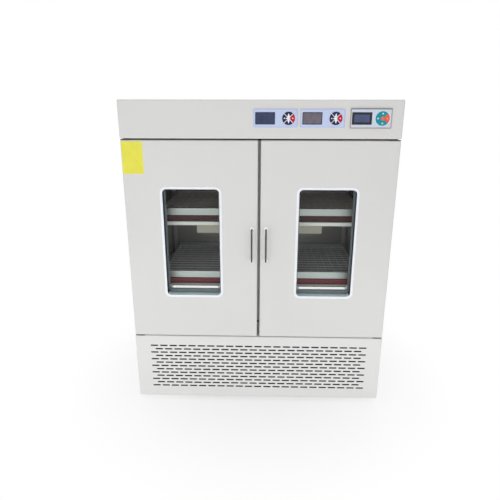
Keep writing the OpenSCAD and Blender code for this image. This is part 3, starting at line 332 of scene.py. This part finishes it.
# Bare metal
steel_wall = brushed("steel_wall", (0.33, 0.32, 0.31), along_x, 0.34, 0.42, 0.07)
clamp_steel = brushed("clamp_steel", (0.62, 0.6, 0.56), along_z)
steel_part = brushed("steel_part", (0.52, 0.53, 0.54), along_z)
# Near-white, for the handle's roses only, as a painted highlight
rose_steel_highlight = brushed("rose_steel_highlight", (0.9, 0.9, 0.92), along_x, 0.12, 0.2, 0.05)
fins = brushed("fin_aluminium", (0.72, 0.73, 0.74), along_z, 0.3, 0.45)
copper = brushed("copper_pipe", (0.72, 0.36, 0.22), along_x, 0.22, 0.35)
brass = brushed("brass_blade", (0.72, 0.56, 0.30), along_y, 0.2, 0.3)
# The upper tier's tray steel is darker than the lower's, as painted shade; its tray floor and long spring
# wire are warmer, as a painted warm reflection
tray_steels = {"upper": brushed("upper_tray_steel", (0.37, 0.405, 0.385), along_x, 0.38, 0.52, 0.08),
               "lower": brushed("lower_tray_steel", (0.47, 0.52, 0.5), along_x, 0.38, 0.52, 0.08)}
tray_floors = {"upper": brushed("upper_tray_floor", (0.64, 0.55, 0.49), along_x, 0.4, 0.55, 0.2, 0.1),
               "lower": brushed("lower_tray_floor", (0.42, 0.43, 0.44), along_x, 0.4, 0.55, 0.2, 0.2)}
spring_wires = {"upper": brushed("upper_spring_wire", (0.95, 0.87, 0.8), along_z, 0.4, 0.55, 0.05, 0.1),
                "lower": brushed("lower_spring_wire", (0.95, 0.96, 0.97), along_z, 0.4, 0.55, 0.05, 0.1)}
# The cross springs are the same wire as the long ones, made darker as painted shade
shaded_spring = brushed("shaded_spring", (0.5, 0.46, 0.43), along_z, 0.4, 0.55, 0.1, 0.3)

# The handle's rod is near-black metal: a painted dark reflection on chrome
chrome_dark_reflection = Shader("handle_chrome", (0.1, 0.1, 0.105), 0.1, 1.0)
chrome_dark_reflection.shade(chrome_dark_reflection.noise(30, 2), 0.06)
chrome_dark_reflection.rough(chrome_dark_reflection.noise(120, 3), 0.07, 0.16)
chrome_dark_reflection.bump(chrome_dark_reflection.noise(260, 2), 0.00001, 0.3)

# Castings, painted iron and zinc-coated steel
zinc = cast("zinc_grey", (0.30, 0.31, 0.32), 0.42)
black_paint = cast("black_paint", (0.016, 0.016, 0.018), 0.35)
motor_grey = cast("motor_grey", (0.09, 0.095, 0.10), 0.45)
spacer_dark = cast("spacer_dark", (0.16, 0.2, 0.21), 0.5)

# Rubber, foam, and the near-black mat that is painted shade behind the slots
seal_rubber = rubber("seal_rubber", (0.03, 0.033, 0.042))
foot_rubber = rubber("foot_rubber")
belt_rubber = rubber("belt_rubber", near_black)

# A near-black sheet standing in for the shade behind the slots: painted shade
shade_mat_black = Shader("shade_mat_black", (0.004, 0.004, 0.004), 0.95)
shade_mat_black.set("Specular IOR Level", 0.02)
shade_mat_black.paint(shade_mat_black.spread(shade_mat_black.noise(160, 4), 0.0, 0.5), (0.008, 0.008, 0.009))
shade_mat_black.rough(shade_mat_black.noise(60), 0.9, 1.0)
shade_mat_black.bump(shade_mat_black.noise(700, 3), 0.0006, 0.8)

foam = Shader("foam_cream", linear(226, 212, 165), 0.9)
foam.shade(foam.noise(60, 4), 0.12)
foam.rough(foam.noise(40), 0.85, 0.98)
foam.bump(foam.noise(350, 3), 0.0004, 0.5)

# Thin glass: clear, with a little mirror that grows at a glancing angle
glass = Shader("window_glass", (0.9, 0.95, 0.94), 0.03)
clear = glass.node("ShaderNodeBsdfTransparent")
clear.inputs["Color"].default_value = (0.993, 0.996, 0.994, 1.0)
mirror = glass.node("ShaderNodeBsdfGlossy")
mirror.inputs["Color"].default_value = (0.95, 0.97, 1.0, 1.0)
glass.link(glass.spread(glass.noise(14, 2), 0.012, 0.03), mirror.inputs["Roughness"])
edge_on = glass.node("ShaderNodeFresnel")
edge_on.inputs["IOR"].default_value = 1.45
mix = glass.node("ShaderNodeMixShader")
mirror_share = glass.math("MULTIPLY", edge_on.outputs[0], 0.12)
for i, made in enumerate((mirror_share, clear.outputs[0], mirror.outputs[0])):
    glass.link(made, mix.inputs[i])
glass.link(mix.outputs[0], glass.out.inputs[0])
glass.t.nodes.remove(glass.bsdf)


# ---- Material of each carried-over node ----


def dress(node, *choices):
    """Gives a node its materials, as pairs of a material and a test of the faces' middles.

    A face takes the first whose test it passes, and the last one has no test.
    """
    mesh = nodes[node].data
    mesh.materials.clear()
    for material, _ in choices:
        mesh.materials.append(material.m)
    if len(choices) == 1:
        return
    middles = np.empty(len(mesh.polygons) * 3)
    mesh.polygons.foreach_get("center", middles)
    middles = middles.reshape(-1, 3)
    chosen = np.full(len(middles), len(choices) - 1, dtype=np.int32)
    for i in reversed(range(len(choices) - 1)):
        chosen[choices[i][1](middles)] = i
    mesh.polygons.foreach_set("material_index", chosen)
    mesh.update()


def close(values, middle, reach):
    return abs(values - middle) < reach


def between(values, low, high):
    return (values > low) & (values < high)


# Stands in place of a test beside the last material
everywhere = None

# Cabinet
for name, paint in (("outer_shell", shell_grey), ("back_panel", shell_grey), ("fascia", fascia_grey)):
    dress(name, (paint, everywhere))


def slot_rim_shade(s, middle, pitch, size, rows, columns, soft):
    """Darkens the paint close round staggered rows of round-ended slots, as painted shade."""
    (pitch_x, pitch_z), (width, height) = pitch, size
    x, _, z = s.axes(middle)
    row = s.math("ROUND", s.math("DIVIDE", z, pitch_z))
    odd = s.math("ABSOLUTE", s.math("MODULO", row, 2.0))
    up = s.math("SUBTRACT", z, s.math("MULTIPLY", row, pitch_z))
    column = s.math("ADD", s.math("DIVIDE", x, pitch_x), s.math("MULTIPLY", odd, 0.5))
    off_middle = s.math("ABSOLUTE", s.math("SUBTRACT", column, s.math("ROUND", column)))
    past_arc = s.math("SUBTRACT", s.math("MULTIPLY", off_middle, pitch_x), (width - height) / 2)
    gap = s.length(s.math("MAXIMUM", past_arc, 0.0), up)
    half_row = s.math("SUBTRACT", columns * pitch_x / 2, s.math("MULTIPLY", odd, pitch_x / 2))
    here = s.math("MULTIPLY", s.math("LESS_THAN", s.math("ABSOLUTE", x), half_row),
                  s.math("LESS_THAN", s.math("ABSOLUTE", z), rows * pitch_z / 2))
    # A soft black rim round each slot: painted shade
    rim = s.math("MULTIPLY", s.spread(gap, 1.0, 0.0, height / 2 + soft / 3, height / 2 + soft), here)
    s.paint(rim, near_black)


# The pattern of slots is the one in the panel's solid; their cut walls are painted black and the paint round
# them darkened, as painted shade in the slots
low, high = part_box("slotted_panel")
slots_middle, slot_pitch, slot_size = (0, 0, low.z + 0.172), (0.0463, 0.0187), (0.036, 0.006)
slot_rim_shade(lower_grey_light_and_shade, slots_middle, slot_pitch, slot_size, rows=13, columns=23, soft=0.0009)
walls_front, walls_back = low.y + 0.0001, low.y + 0.0035
field_side, field_bottom, field_top = high.x - 0.03, low.z + 0.02, high.z - 0.015
dress("slotted_panel",
      (slot_wall_shade, lambda c: between(c[:, 1], walls_front, walls_back)
       & between(c[:, 0], -field_side, field_side) & between(c[:, 2], field_bottom, field_top)),
      (lower_grey_light_and_shade, everywhere))

# The front frame has a black strip behind the gap above the doors: painted shade that makes the gap read
# dark
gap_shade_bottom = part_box("left_door_shell")[1].z - 0.004
frame_paint_and_gap_shade = powder("frame_paint_and_gap_shade", shell_grey.colour)
_, _, z = frame_paint_and_gap_shade.axes((0, 0, gap_shade_bottom))
# Black above the line behind the gap: painted shade
frame_paint_and_gap_shade.paint(frame_paint_and_gap_shade.spread(z, 0.0, 1.0, -0.0005, 0.0005), (0.012, 0.012, 0.013))
dress("front_frame", (frame_paint_and_gap_shade, everywhere))
dress("chamber_liner", (steel_wall, everywhere))
clamp_w = 0.0255
clamp_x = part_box("duct_cover")[1].x - clamp_w
dress("duct_cover", (clamp_steel, lambda c: abs(c[:, 0]) > clamp_x), (steel_wall, everywhere))
dress("insulation", (foam, everywhere))
dress("base_chassis", (zinc, everywhere))
dress("hinge_brackets", (black_paint, everywhere))
rubber_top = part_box("levelling_feet")[0].z + 0.0125
dress("levelling_feet", (foot_rubber, lambda c: c[:, 2] < rubber_top), (steel_part, everywhere))

# Mains inlet, whose three blades are brass
low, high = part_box("power_inlet")
middle = (low + high) / 2
blade_pitch, blade_floor = 0.01, low.y + 0.0065
blade_half_w, blade_half_h = 0.0012, 0.0035
blades = [middle.x + i * blade_pitch for i in (-1, 0, 1)]
dress("power_inlet",
      (brass, lambda c: np.any([close(c[:, 0], x, blade_half_w) for x in blades], axis=0)
       & close(c[:, 2], middle.z, blade_half_h) & (c[:, 1] > blade_floor)),
      (black_plastic, everywhere))

# Air and cold
fins_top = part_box("air_coils")[0].z + 0.151
dress("air_coils", (fins, lambda c: c[:, 2] < fins_top), (steel_part, everywhere))
dress("blower_wheel", (steel_part, everywhere))
dress("fan_motors", (motor_grey, everywhere))
dress("condenser_fan", (fan_plastic, everywhere))
low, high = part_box("condensing_unit")
pipe_z, pipe_reach = low.z + 0.12, 0.0055
pipe_left, pipe_right = low.x + 0.2, high.x - 0.29
compressor_right, coil_back = low.x + 0.25, low.y + 0.0455
dress("condensing_unit",
      (copper, lambda c: close(c[:, 2], pipe_z, pipe_reach) & between(c[:, 0], pipe_left, pipe_right)),
      (black_paint, lambda c: c[:, 0] < compressor_right),
      (fins, lambda c: c[:, 1] < coil_back),
      (zinc, everywhere))

# Shaker tiers
tiers = ("upper", "lower")
for tier in tiers:
    low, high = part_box(f"{tier}_carrier")
    # The upper tier's red is far darker than the lower's, as painted shade
    carrier_paint_and_shade = powder(f"{tier}_carrier_red", linear(64, 28, 32) if tier == "upper" else linear(138, 70, 76))
    # Both are darker still close to their top and bottom edges, where they meet the tray and the base:
    # painted shade
    _, _, z = carrier_paint_and_shade.axes((low + high) / 2)
    half, shade_from, shade_to = (high.z - low.z) / 2, 0.007, 0.002
    edge = carrier_paint_and_shade.spread(carrier_paint_and_shade.math("ABSOLUTE", z), 0.0, 0.65, half - shade_from, half - shade_to)
    carrier_paint_and_shade.paint(edge, (0.006, 0.004, 0.004))
    dress(f"{tier}_carrier", (carrier_paint_and_shade, everywhere))
    low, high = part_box(f"{tier}_tray")
    face, rim = low.y + 0.001, high.z - 0.001
    dress(f"{tier}_tray",
          (tray_steels[tier], lambda c: (c[:, 1] < face) | (c[:, 2] > rim)),
          (tray_floors[tier], everywhere))
    for part in ("motor_pulley", "main_crank", "left_crank", "right_crank"):
        dress(f"{tier}_{part}", (steel_part, everywhere))
dress("shaker_motors", (motor_grey, everywhere))
dress("drive_belts", (belt_rubber, everywhere))

# Each tier's base is a pale pan with a beige motor housing under it
pan_bottom, pan_top = 0.0194, 0.001
floors = [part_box(f"{tier}_carrier")[0].z for tier in tiers]
dress("shaker_bases",
      (base_pale, lambda c: np.any([between(c[:, 2], z - pan_bottom, z - pan_top) for z in floors], axis=0)),
      (housing_beige, everywhere))

# Doors
for side in ("left", "right"):
    dress(f"{side}_door_shell", (door_grey, everywhere))
    dress(f"{side}_door_liner", (liner_white, everywhere))
    low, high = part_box(f"{side}_window_frame")
    opening = low.z + 0.011
    slope_y, slope_z = low.y + 0.0495, opening + 0.023
    sill_front, sill_back, sill_top = low.y + 0.046, high.y - 0.001, opening + 0.029
    throat_y, throat_half, throat_floor = low.y + 0.0235, 0.02, opening + 0.006
    # The throat's floor and walls take the painted reflection and the painted shade
    dress(f"{side}_window_frame",
          (sill_polished, lambda c: close(c[:, 1], slope_y, 0.002) & close(c[:, 2], slope_z, 0.0035)),
          (sill_white, lambda c: between(c[:, 1], sill_front, sill_back) & (c[:, 2] < sill_top)),
          (throat_floor_sheen, lambda c: close(c[:, 1], throat_y, throat_half) & (c[:, 2] < throat_floor)),
          (throat_wall_shade, lambda c: close(c[:, 1], throat_y, throat_half)),
          (trim_white, everywhere))
    dress(f"{side}_window_panes", (glass, everywhere))
    low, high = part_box(f"{side}_door_shell")
    rose_front, seal_front = low.y - 0.0026, high.y - 0.001
    dress(f"{side}_door_gasket", (seal_rubber, lambda c: c[:, 1] > seal_front), (spacer_dark, everywhere))
    # Bright roses and a near-black rod: painted highlight and painted dark reflection on one chrome
    dress(f"{side}_door_handle", (rose_steel_highlight, lambda c: c[:, 1] > rose_front), (chrome_dark_reflection, everywhere))

# ---- Controllers ----

lavender, edge_blue, navy = linear(190, 204, 238), linear(178, 192, 236), linear(38, 46, 78)
signal_red, teal, salmon = linear(196, 26, 62), linear(16, 152, 170), linear(242, 108, 74)
pale_key, outline_grey, corner_brown = linear(246, 248, 252), linear(104, 106, 116), linear(160, 150, 144)
ways = {"up": (0, 1), "left": (-1, 0), "down": (0, -1), "right": (1, 0)}

# Middle and radius of each pad of keys, whose hidden backs reach past their faces by a lip
lip = 0.0011
pads = {}
for name in ("upper_speed", "lower_speed", "temperature"):
    boxes = [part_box(f"{name}_key_{way}") for way in ways]
    low = Vector([min(b[0][i] for b in boxes) for i in range(3)])
    high = Vector([max(b[1][i] for b in boxes) for i in range(3)])
    pads[name] = ((low + high) / 2, (high.x - low.x) / 2 - lip)


def arms(s, centre):
    """How far a point is along the nearer arm of a cross at centre, and how far beside it."""
    x, _, z = s.axes(centre)
    x, z = s.math("ABSOLUTE", x), s.math("ABSOLUTE", z)
    return s.math("MAXIMUM", x, z), s.math("MINIMUM", x, z)


def speed_key(name, way, centre, radius):
    """Navy key, or red on the right, with pale edges and its ray of a pale star.

    The left and right keys have an arrow head too.
    """
    warm = way == "right"
    s = plastic(name, signal_red if warm else navy, 0.35, 0.45, shine=0.12)
    along, beside = arms(s, centre)
    from_edge = s.math("SUBTRACT", along, beside)
    s.paint(s.spread(from_edge, 1.0, 0.0, 0.0017, 0.0025), pale_key)
    # How far the ray runs, as a share of the pad's radius
    reach = {"left": 0.5, "right": 0.3}.get(way, 0.76)
    ray = s.math("ADD", along, s.math("MULTIPLY", beside, 2.4))
    s.paint(s.spread(ray, 1.0, 0.0, radius * reach, radius * (reach + 0.05)), pale_key)
    if way in ("left", "right"):
        head_at = radius * 0.66
        head = s.math("ADD", s.math("ABSOLUTE", s.math("SUBTRACT", along, head_at)), beside)
        s.paint(s.spread(head, 0.9, 0.0, radius * 0.1, radius * 0.15), pale_key)
    return s


def temperature_key(name, way, centre, radius):
    """Teal key, or salmon on the right, with a pale dot and its share of the salmon middle."""
    warm = way == "right"
    s = plastic(name, salmon if warm else teal, 0.35, 0.45, shine=0.12)
    (right, up), out = ways[way], radius * 0.68
    dot = (centre.x + right * out, 0, centre.z + up * out)
    s.paint(s.spread(s.away(dot), 0.3 if warm else 0.9, 0.0, radius * 0.07, radius * 0.14), pale_key)
    s.paint(s.spread(s.away(centre), 1.0, 0.0, radius * 0.24, radius * 0.28), salmon)
    return s


for name, (centre, radius) in pads.items():
    key = temperature_key if name == "temperature" else speed_key
    for way in ways:
        node = f"{name}_key_{way}"
        dress(node, (key(node, way, centre, radius), everywhere))


def corners(node):
    return np.array([v.co for v in nodes[node].data.vertices])


def within(spots, left, right):
    """The corners of the box round the points between two places in X."""
    part = spots[(spots[:, 0] > left) & (spots[:, 0] < right)]
    return Vector(part.min(0)), Vector(part.max(0))


# The places in X between one controller and the next, each just before the first corner past a pad
panel_spots, screen_spots = corners("controller_panels"), corners("controller_displays")
past_pad, before_next = 0.012, 0.002
edges = [-math.inf]
for name in ("upper_speed", "lower_speed"):
    centre, radius = pads[name]
    further = panel_spots[panel_spots[:, 0] > centre.x + radius + past_pad]
    edges.append(further[:, 0].min() - before_next)
edges.append(math.inf)


def lavender_panel(name, low, high, centre, radius):
    """Lavender face with a slightly bluer edge, and a white ring round the keys."""
    s = plastic(name, edge_blue, 0.28, 0.36)
    half, edge = (high - low) / 2, 0.0024
    s.paint(s.inside((low + high) / 2, half.x - edge, half.z - edge, 0.0006), lavender)
    s.paint(s.spread(s.away(centre), 1.0, 0.0, radius + 0.0004, radius + 0.0012), pale_key)
    return s


def framed_panel(name, low, high, centre, radius):
    """Pale face in a brown frame with a grey top, and a pale, a teal and a salmon round under the keys."""
    s = plastic(name, corner_brown, 0.3, 0.38)
    half, side_w, top_w = (high - low) / 2, 0.0035, 0.0045
    _, _, z = s.axes((0, 0, high.z - top_w))
    s.paint(s.spread(z, 0.0, 1.0, -0.0006, 0.0006), outline_grey)
    s.paint(s.inside((low + high) / 2, half.x - side_w, half.z - top_w), linear(204, 212, 228))
    for reach, colour in ((1.06, pale_key), (1.01, teal), (0.26, salmon)):
        s.paint(s.spread(s.away(centre), 1.0, 0.0, radius * reach, radius * (reach + 0.04)), colour)
    return s


def display(name, low, high, border, inner, rim):
    """A paler field within a dark border, faintly clouded."""
    s = Shader(name, border, 0.16)
    s.set("Specular IOR Level", 0.15)
    half = (high - low) / 2
    s.paint(s.inside((low + high) / 2, half.x - rim, half.z - rim, 0.0012), inner)
    s.shade(s.noise(55, 3), 0.3)
    s.rough(s.noise(30, 2), 0.14, 0.24)
    return s


# Border, field and width of the border of each display
screens = [(linear(34, 42, 78), linear(50, 61, 98), 0.0035),
           (linear(52, 52, 70), linear(114, 106, 120), 0.0045),
           (linear(14, 16, 34), linear(74, 86, 128), 0.0105)]
panels, displays = [], []
for i, (name, (centre, radius)) in enumerate(pads.items()):
    face = framed_panel if name == "temperature" else lavender_panel
    panels.append(face(f"{name}_panel", *within(panel_spots, edges[i], edges[i + 1]), centre, radius))
    displays.append(display(f"{name}_display", *within(screen_spots, edges[i], edges[i + 1]), *screens[i]))
for node, looks in (("controller_panels", panels), ("controller_displays", displays)):
    dress(node, (looks[0], lambda c: c[:, 0] < edges[1]), (looks[1], lambda c: c[:, 0] < edges[2]),
          (looks[2], everywhere))


# ---- Pieces built here ----


def piece(name, verts, faces, material, slot, body="root", smooth=True):
    """A new object that rides on a body and takes the given material; slot is not used."""
    mesh = bpy.data.meshes.new(name)
    mesh.from_pydata([tuple(v) for v in verts], [], [tuple(f) for f in faces])
    mesh.validate()
    if smooth:
        mesh.shade_smooth()
    mesh.materials.append(material.m)
    made = bpy.data.objects.new(name, mesh)
    bpy.context.scene.collection.objects.link(made)
    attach(made, body)
    return made


def circle(sides):
    return [2 * math.pi * k / sides for k in range(sides)]


def tube_faces(rings, sides):
    """The faces between rings of the same number of points, each ring following the last."""
    return [(j * sides + k, j * sides + (k + 1) % sides,
             (j + 1) * sides + (k + 1) % sides, (j + 1) * sides + k)
            for j in range(rings - 1) for k in range(sides)]


def coil(start, end, radius, wire, pitch, per_turn=6, sides=3):
    """Vertices and faces of one coil spring whose ends run in to its axis."""
    start, end = np.array(start), np.array(end)
    length = np.linalg.norm(end - start)
    axis = (end - start) / length
    across = np.cross(axis, (0, 0, 1.0))
    up = np.cross(across, axis)
    turns = max(2, round(length / pitch))
    n = turns * per_turn + 1
    t = np.linspace(0, 1, n)
    angle = 2 * math.pi * turns * t
    swell = np.clip(np.minimum(t, 1 - t) * turns, 0, 1) * radius
    out = np.outer(np.cos(angle), across) + np.outer(np.sin(angle), up)
    line = start + np.outer(t * length, axis) + swell[:, None] * out
    strands = [line + wire * (math.cos(a) * out + math.sin(a) * axis) for a in circle(sides)]
    verts = np.stack(strands, axis=1).reshape(-1, 3)
    ends = [tuple(range(sides))[::-1], tuple((n - 1) * sides + k for k in range(sides))]
    return verts, tube_faces(n, sides) + ends


def gather(parts):
    """Joins lists of vertices and faces into one."""
    verts, faces, base = [], [], 0
    for v, f in parts:
        verts.extend(v)
        faces.extend(tuple(i + base for i in face) for face in f)
        base += len(v)
    return verts, faces


def islands(node):
    """The box of each separate rod of a node."""
    mesh = nodes[node].data
    owner = list(range(len(mesh.vertices)))

    def root(i):
        while owner[i] != i:
            owner[i] = owner[owner[i]]
            i = owner[i]
        return i

    at = {}
    for i, v in enumerate(mesh.vertices):
        owner[i] = at.setdefault(tuple(round(c, 6) for c in v.co), i)
    for e in mesh.edges:
        owner[root(e.vertices[0])] = root(e.vertices[1])
    groups = {}
    for i, v in enumerate(mesh.vertices):
        groups.setdefault(root(i), []).append(v.co)
    return [(np.min(g, 0), np.max(g, 0)) for g in groups.values()]


wire_r, spring_pitch = 0.001, 0.0048
for tier in tiers:
    springs = {along_x: [], along_y: []}
    for low, high in islands(f"{tier}_spring_grid"):
        along = int(np.argmax(high - low))
        start = (low + high) / 2
        end = start.copy()
        start[along], end[along] = low[along], high[along]
        springs[along].append(coil(start, end, (high - low)[2] / 2 - wire_r, wire_r, spring_pitch))
    for along, name, finish in ((along_x, "long", spring_wires[tier]), (along_y, "cross", shaded_spring)):
        joined = gather(springs[along])
        grid = piece(f"{tier}_springs_{name}", *joined, finish, "spring_steel", f"{tier}_platform")
        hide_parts(f"{tier}_spring_grid")


def screw(at, facing, radius=0.0045, height=0.0022, sides=24):
    """A pan-head screw with a cross recess."""
    turn = Vector(facing).to_track_quat("Z", "Y").to_matrix()

    def rings(a):
        """Radius and height of each ring at one angle, from the foot of the head into its recess."""
        arm = abs(math.cos(2 * a)) ** 6
        return [(radius, 0), (radius, height * 0.35), (radius * 0.82, height * 0.85),
                (radius * (0.2 + 0.36 * arm), height), (radius * (0.12 + 0.3 * arm), height * 0.35)]

    def point(r, a, h):
        return Vector(at) + turn @ Vector((r * math.cos(a), r * math.sin(a), h))

    count = len(rings(0))
    verts = [point(rings(a)[j][0], a, rings(a)[j][1]) for j in range(count) for a in circle(sides)]
    verts.append(point(0, 0, height * 0.3))
    last = (count - 1) * sides
    bottom = [(last + k, last + (k + 1) % sides, len(verts) - 1) for k in range(sides)]
    return verts, tube_faces(count, sides) + bottom + [tuple(range(sides))[::-1]]


forward, backward = (0, -1, 0), (0, 1, 0)
low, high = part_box("back_panel")
edge_x, first_z, last_z, per_side = high.x - 0.011, low.z + 0.02, high.z - 0.014, 7
spots = [(side * edge_x, high.y, z) for side in (-1, 1) for z in np.linspace(first_z, last_z, per_side)]
spots += [(x, high.y, z) for x in np.linspace(-edge_x, edge_x, per_side)[1:-1] for z in (first_z, last_z)]
piece("back_screws", *gather(screw(p, backward) for p in spots), steel_part, "chassis_steel")

low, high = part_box("power_inlet")
inset = 0.0034
spots = [(x, high.y, (low.z + high.z) / 2) for x in (low.x + inset, high.x - inset)]
small = [screw(p, backward, radius=0.0024, height=0.0012) for p in spots]
piece("inlet_screws", *gather(small), steel_part, "chassis_steel")

low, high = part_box("duct_cover")
inset_x, inset_z = 0.012, 0.02
heights = np.linspace(low.z + inset_z, high.z - inset_z, 5)
spots = [(x, low.y, z) for x in (low.x + inset_x, high.x - inset_x) for z in heights]
piece("cover_screws", *gather(screw(p, forward) for p in spots), steel_part, "chassis_steel")

# Four screws in each of the four hinge plates, which are 3 mm thick
low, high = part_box("hinge_brackets")
plate_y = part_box("front_frame")[0].y - 0.003
from_edge, from_end = (0.008, 0.021), (0.014, 0.026)
heights = [low.z + dz for dz in from_end] + [high.z - dz for dz in from_end]
spots = [(side * (high.x - dx), plate_y, z) for side in (-1, 1) for z in heights for dx in from_edge]
middling = [screw(p, forward, radius=0.0036, height=0.0016) for p in spots]
piece("hinge_screws", *gather(middling), steel_part, "chassis_steel")


def plate(width, height, depth, corner, steps=6):
    """A thin plate with round corners and a soft front edge, facing -Y, about the origin."""
    def outline(inset):
        w, h, r = width / 2 - inset, height / 2 - inset, max(corner - inset, 0.0002)
        return [(sx * (w - r) + r * math.cos(a), sz * (h - r) + r * math.sin(a))
                for sx, sz, first in ((1, 1, 0), (-1, 1, 90), (-1, -1, 180), (1, -1, 270))
                for a in (math.radians(first + 90 * k / steps) for k in range(steps + 1))]
    rings = [(0.0, 0.0), (0.0, -depth * 0.5), (depth * 0.5, -depth)]
    verts = [(x, y, z) for inset, y in rings for x, z in outline(inset)]
    n = 4 * (steps + 1)
    faces = [(j * n + k, (j + 1) * n + k, (j + 1) * n + (k + 1) % n, j * n + (k + 1) % n)
             for j in range(len(rings) - 1) for k in range(n)]
    faces += [tuple(range(n)), tuple((len(rings) - 1) * n + k for k in range(n))[::-1]]
    return verts, faces


# Near-black mat behind the slots, a dark sheet put there as painted shade, its front pressed into small
# bumps
low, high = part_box("slotted_panel")
mat_y, mat_t, bump, columns, rows = low.y + 0.0042, 0.005, 0.0012, 110, 27
side_gap, bottom_gap, top_gap = 0.055, 0.042, 0.034


def mat_corner(i, j):
    return j * columns + i


xs = np.linspace(low.x + side_gap, high.x - side_gap, columns)
zs = np.linspace(low.z + bottom_gap, high.z - top_gap, rows)
verts = [(x, mat_y + bump * ((i + j) % 2), z) for j, z in enumerate(zs) for i, x in enumerate(xs)]
back = len(verts)
verts += [(x, mat_y + mat_t, z) for z in zs for x in xs]
faces = [(mat_corner(i, j), mat_corner(i + 1, j), mat_corner(i + 1, j + 1), mat_corner(i, j + 1))
         for j in range(rows - 1) for i in range(columns - 1)]
faces += [tuple(k + back for k in reversed(face)) for face in faces]
rim = [mat_corner(i, 0) for i in range(columns)]
rim += [mat_corner(columns - 1, j) for j in range(1, rows)]
rim += [mat_corner(i, rows - 1) for i in reversed(range(columns - 1))]
rim += [mat_corner(0, j) for j in reversed(range(1, rows - 1))]
faces += [(b, a, a + back, b + back) for a, b in zip(rim, rim[1:] + rim[:1])]
piece("shade_mat", verts, faces, shade_mat_black, "fan_plastic")

# Blank yellow sticker near the left door's upper outer corner
label_paper = Shader("yellow_paper", linear(238, 232, 70), 0.5)
label_paper.shade(label_paper.noise(30, 4), 0.08)
label_paper.rough(label_paper.noise(40), 0.4, 0.55)
label_paper.bump(label_paper.noise(500, 3), 0.00003, 0.5)
low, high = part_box("left_door_shell")
label_w, label_h, from_side, from_top = 0.091, 0.139, 0.004, 0.005
verts, faces = plate(label_w, label_h, depth=0.00025, corner=0.002)
centre = Vector((low.x + from_side + label_w / 2, low.y, high.z - from_top - label_h / 2))
verts = [Vector(v) + centre for v in verts]
piece("blank_sticker", verts, faces, label_paper, "shell_paint", "left_door", smooth=False)

# Small dark stop on the post between the doors, low down, turned from a radius and a Y at each ring
profile = [(0.0, -0.0045), (0.0026, -0.0042), (0.0042, -0.003), (0.0046, -0.001), (0.0052, 0.0)]
sides = 24
post_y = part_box("front_frame")[0].y
stop_x, stop_z = -0.002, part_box("left_door_shell")[0].z + 0.054
verts = [(stop_x + r * math.cos(a), post_y + y, stop_z + r * math.sin(a))
         for r, y in profile for a in circle(sides)]
piece("post_stop", verts, tube_faces(len(profile), sides), seal_rubber, "seal_rubber")
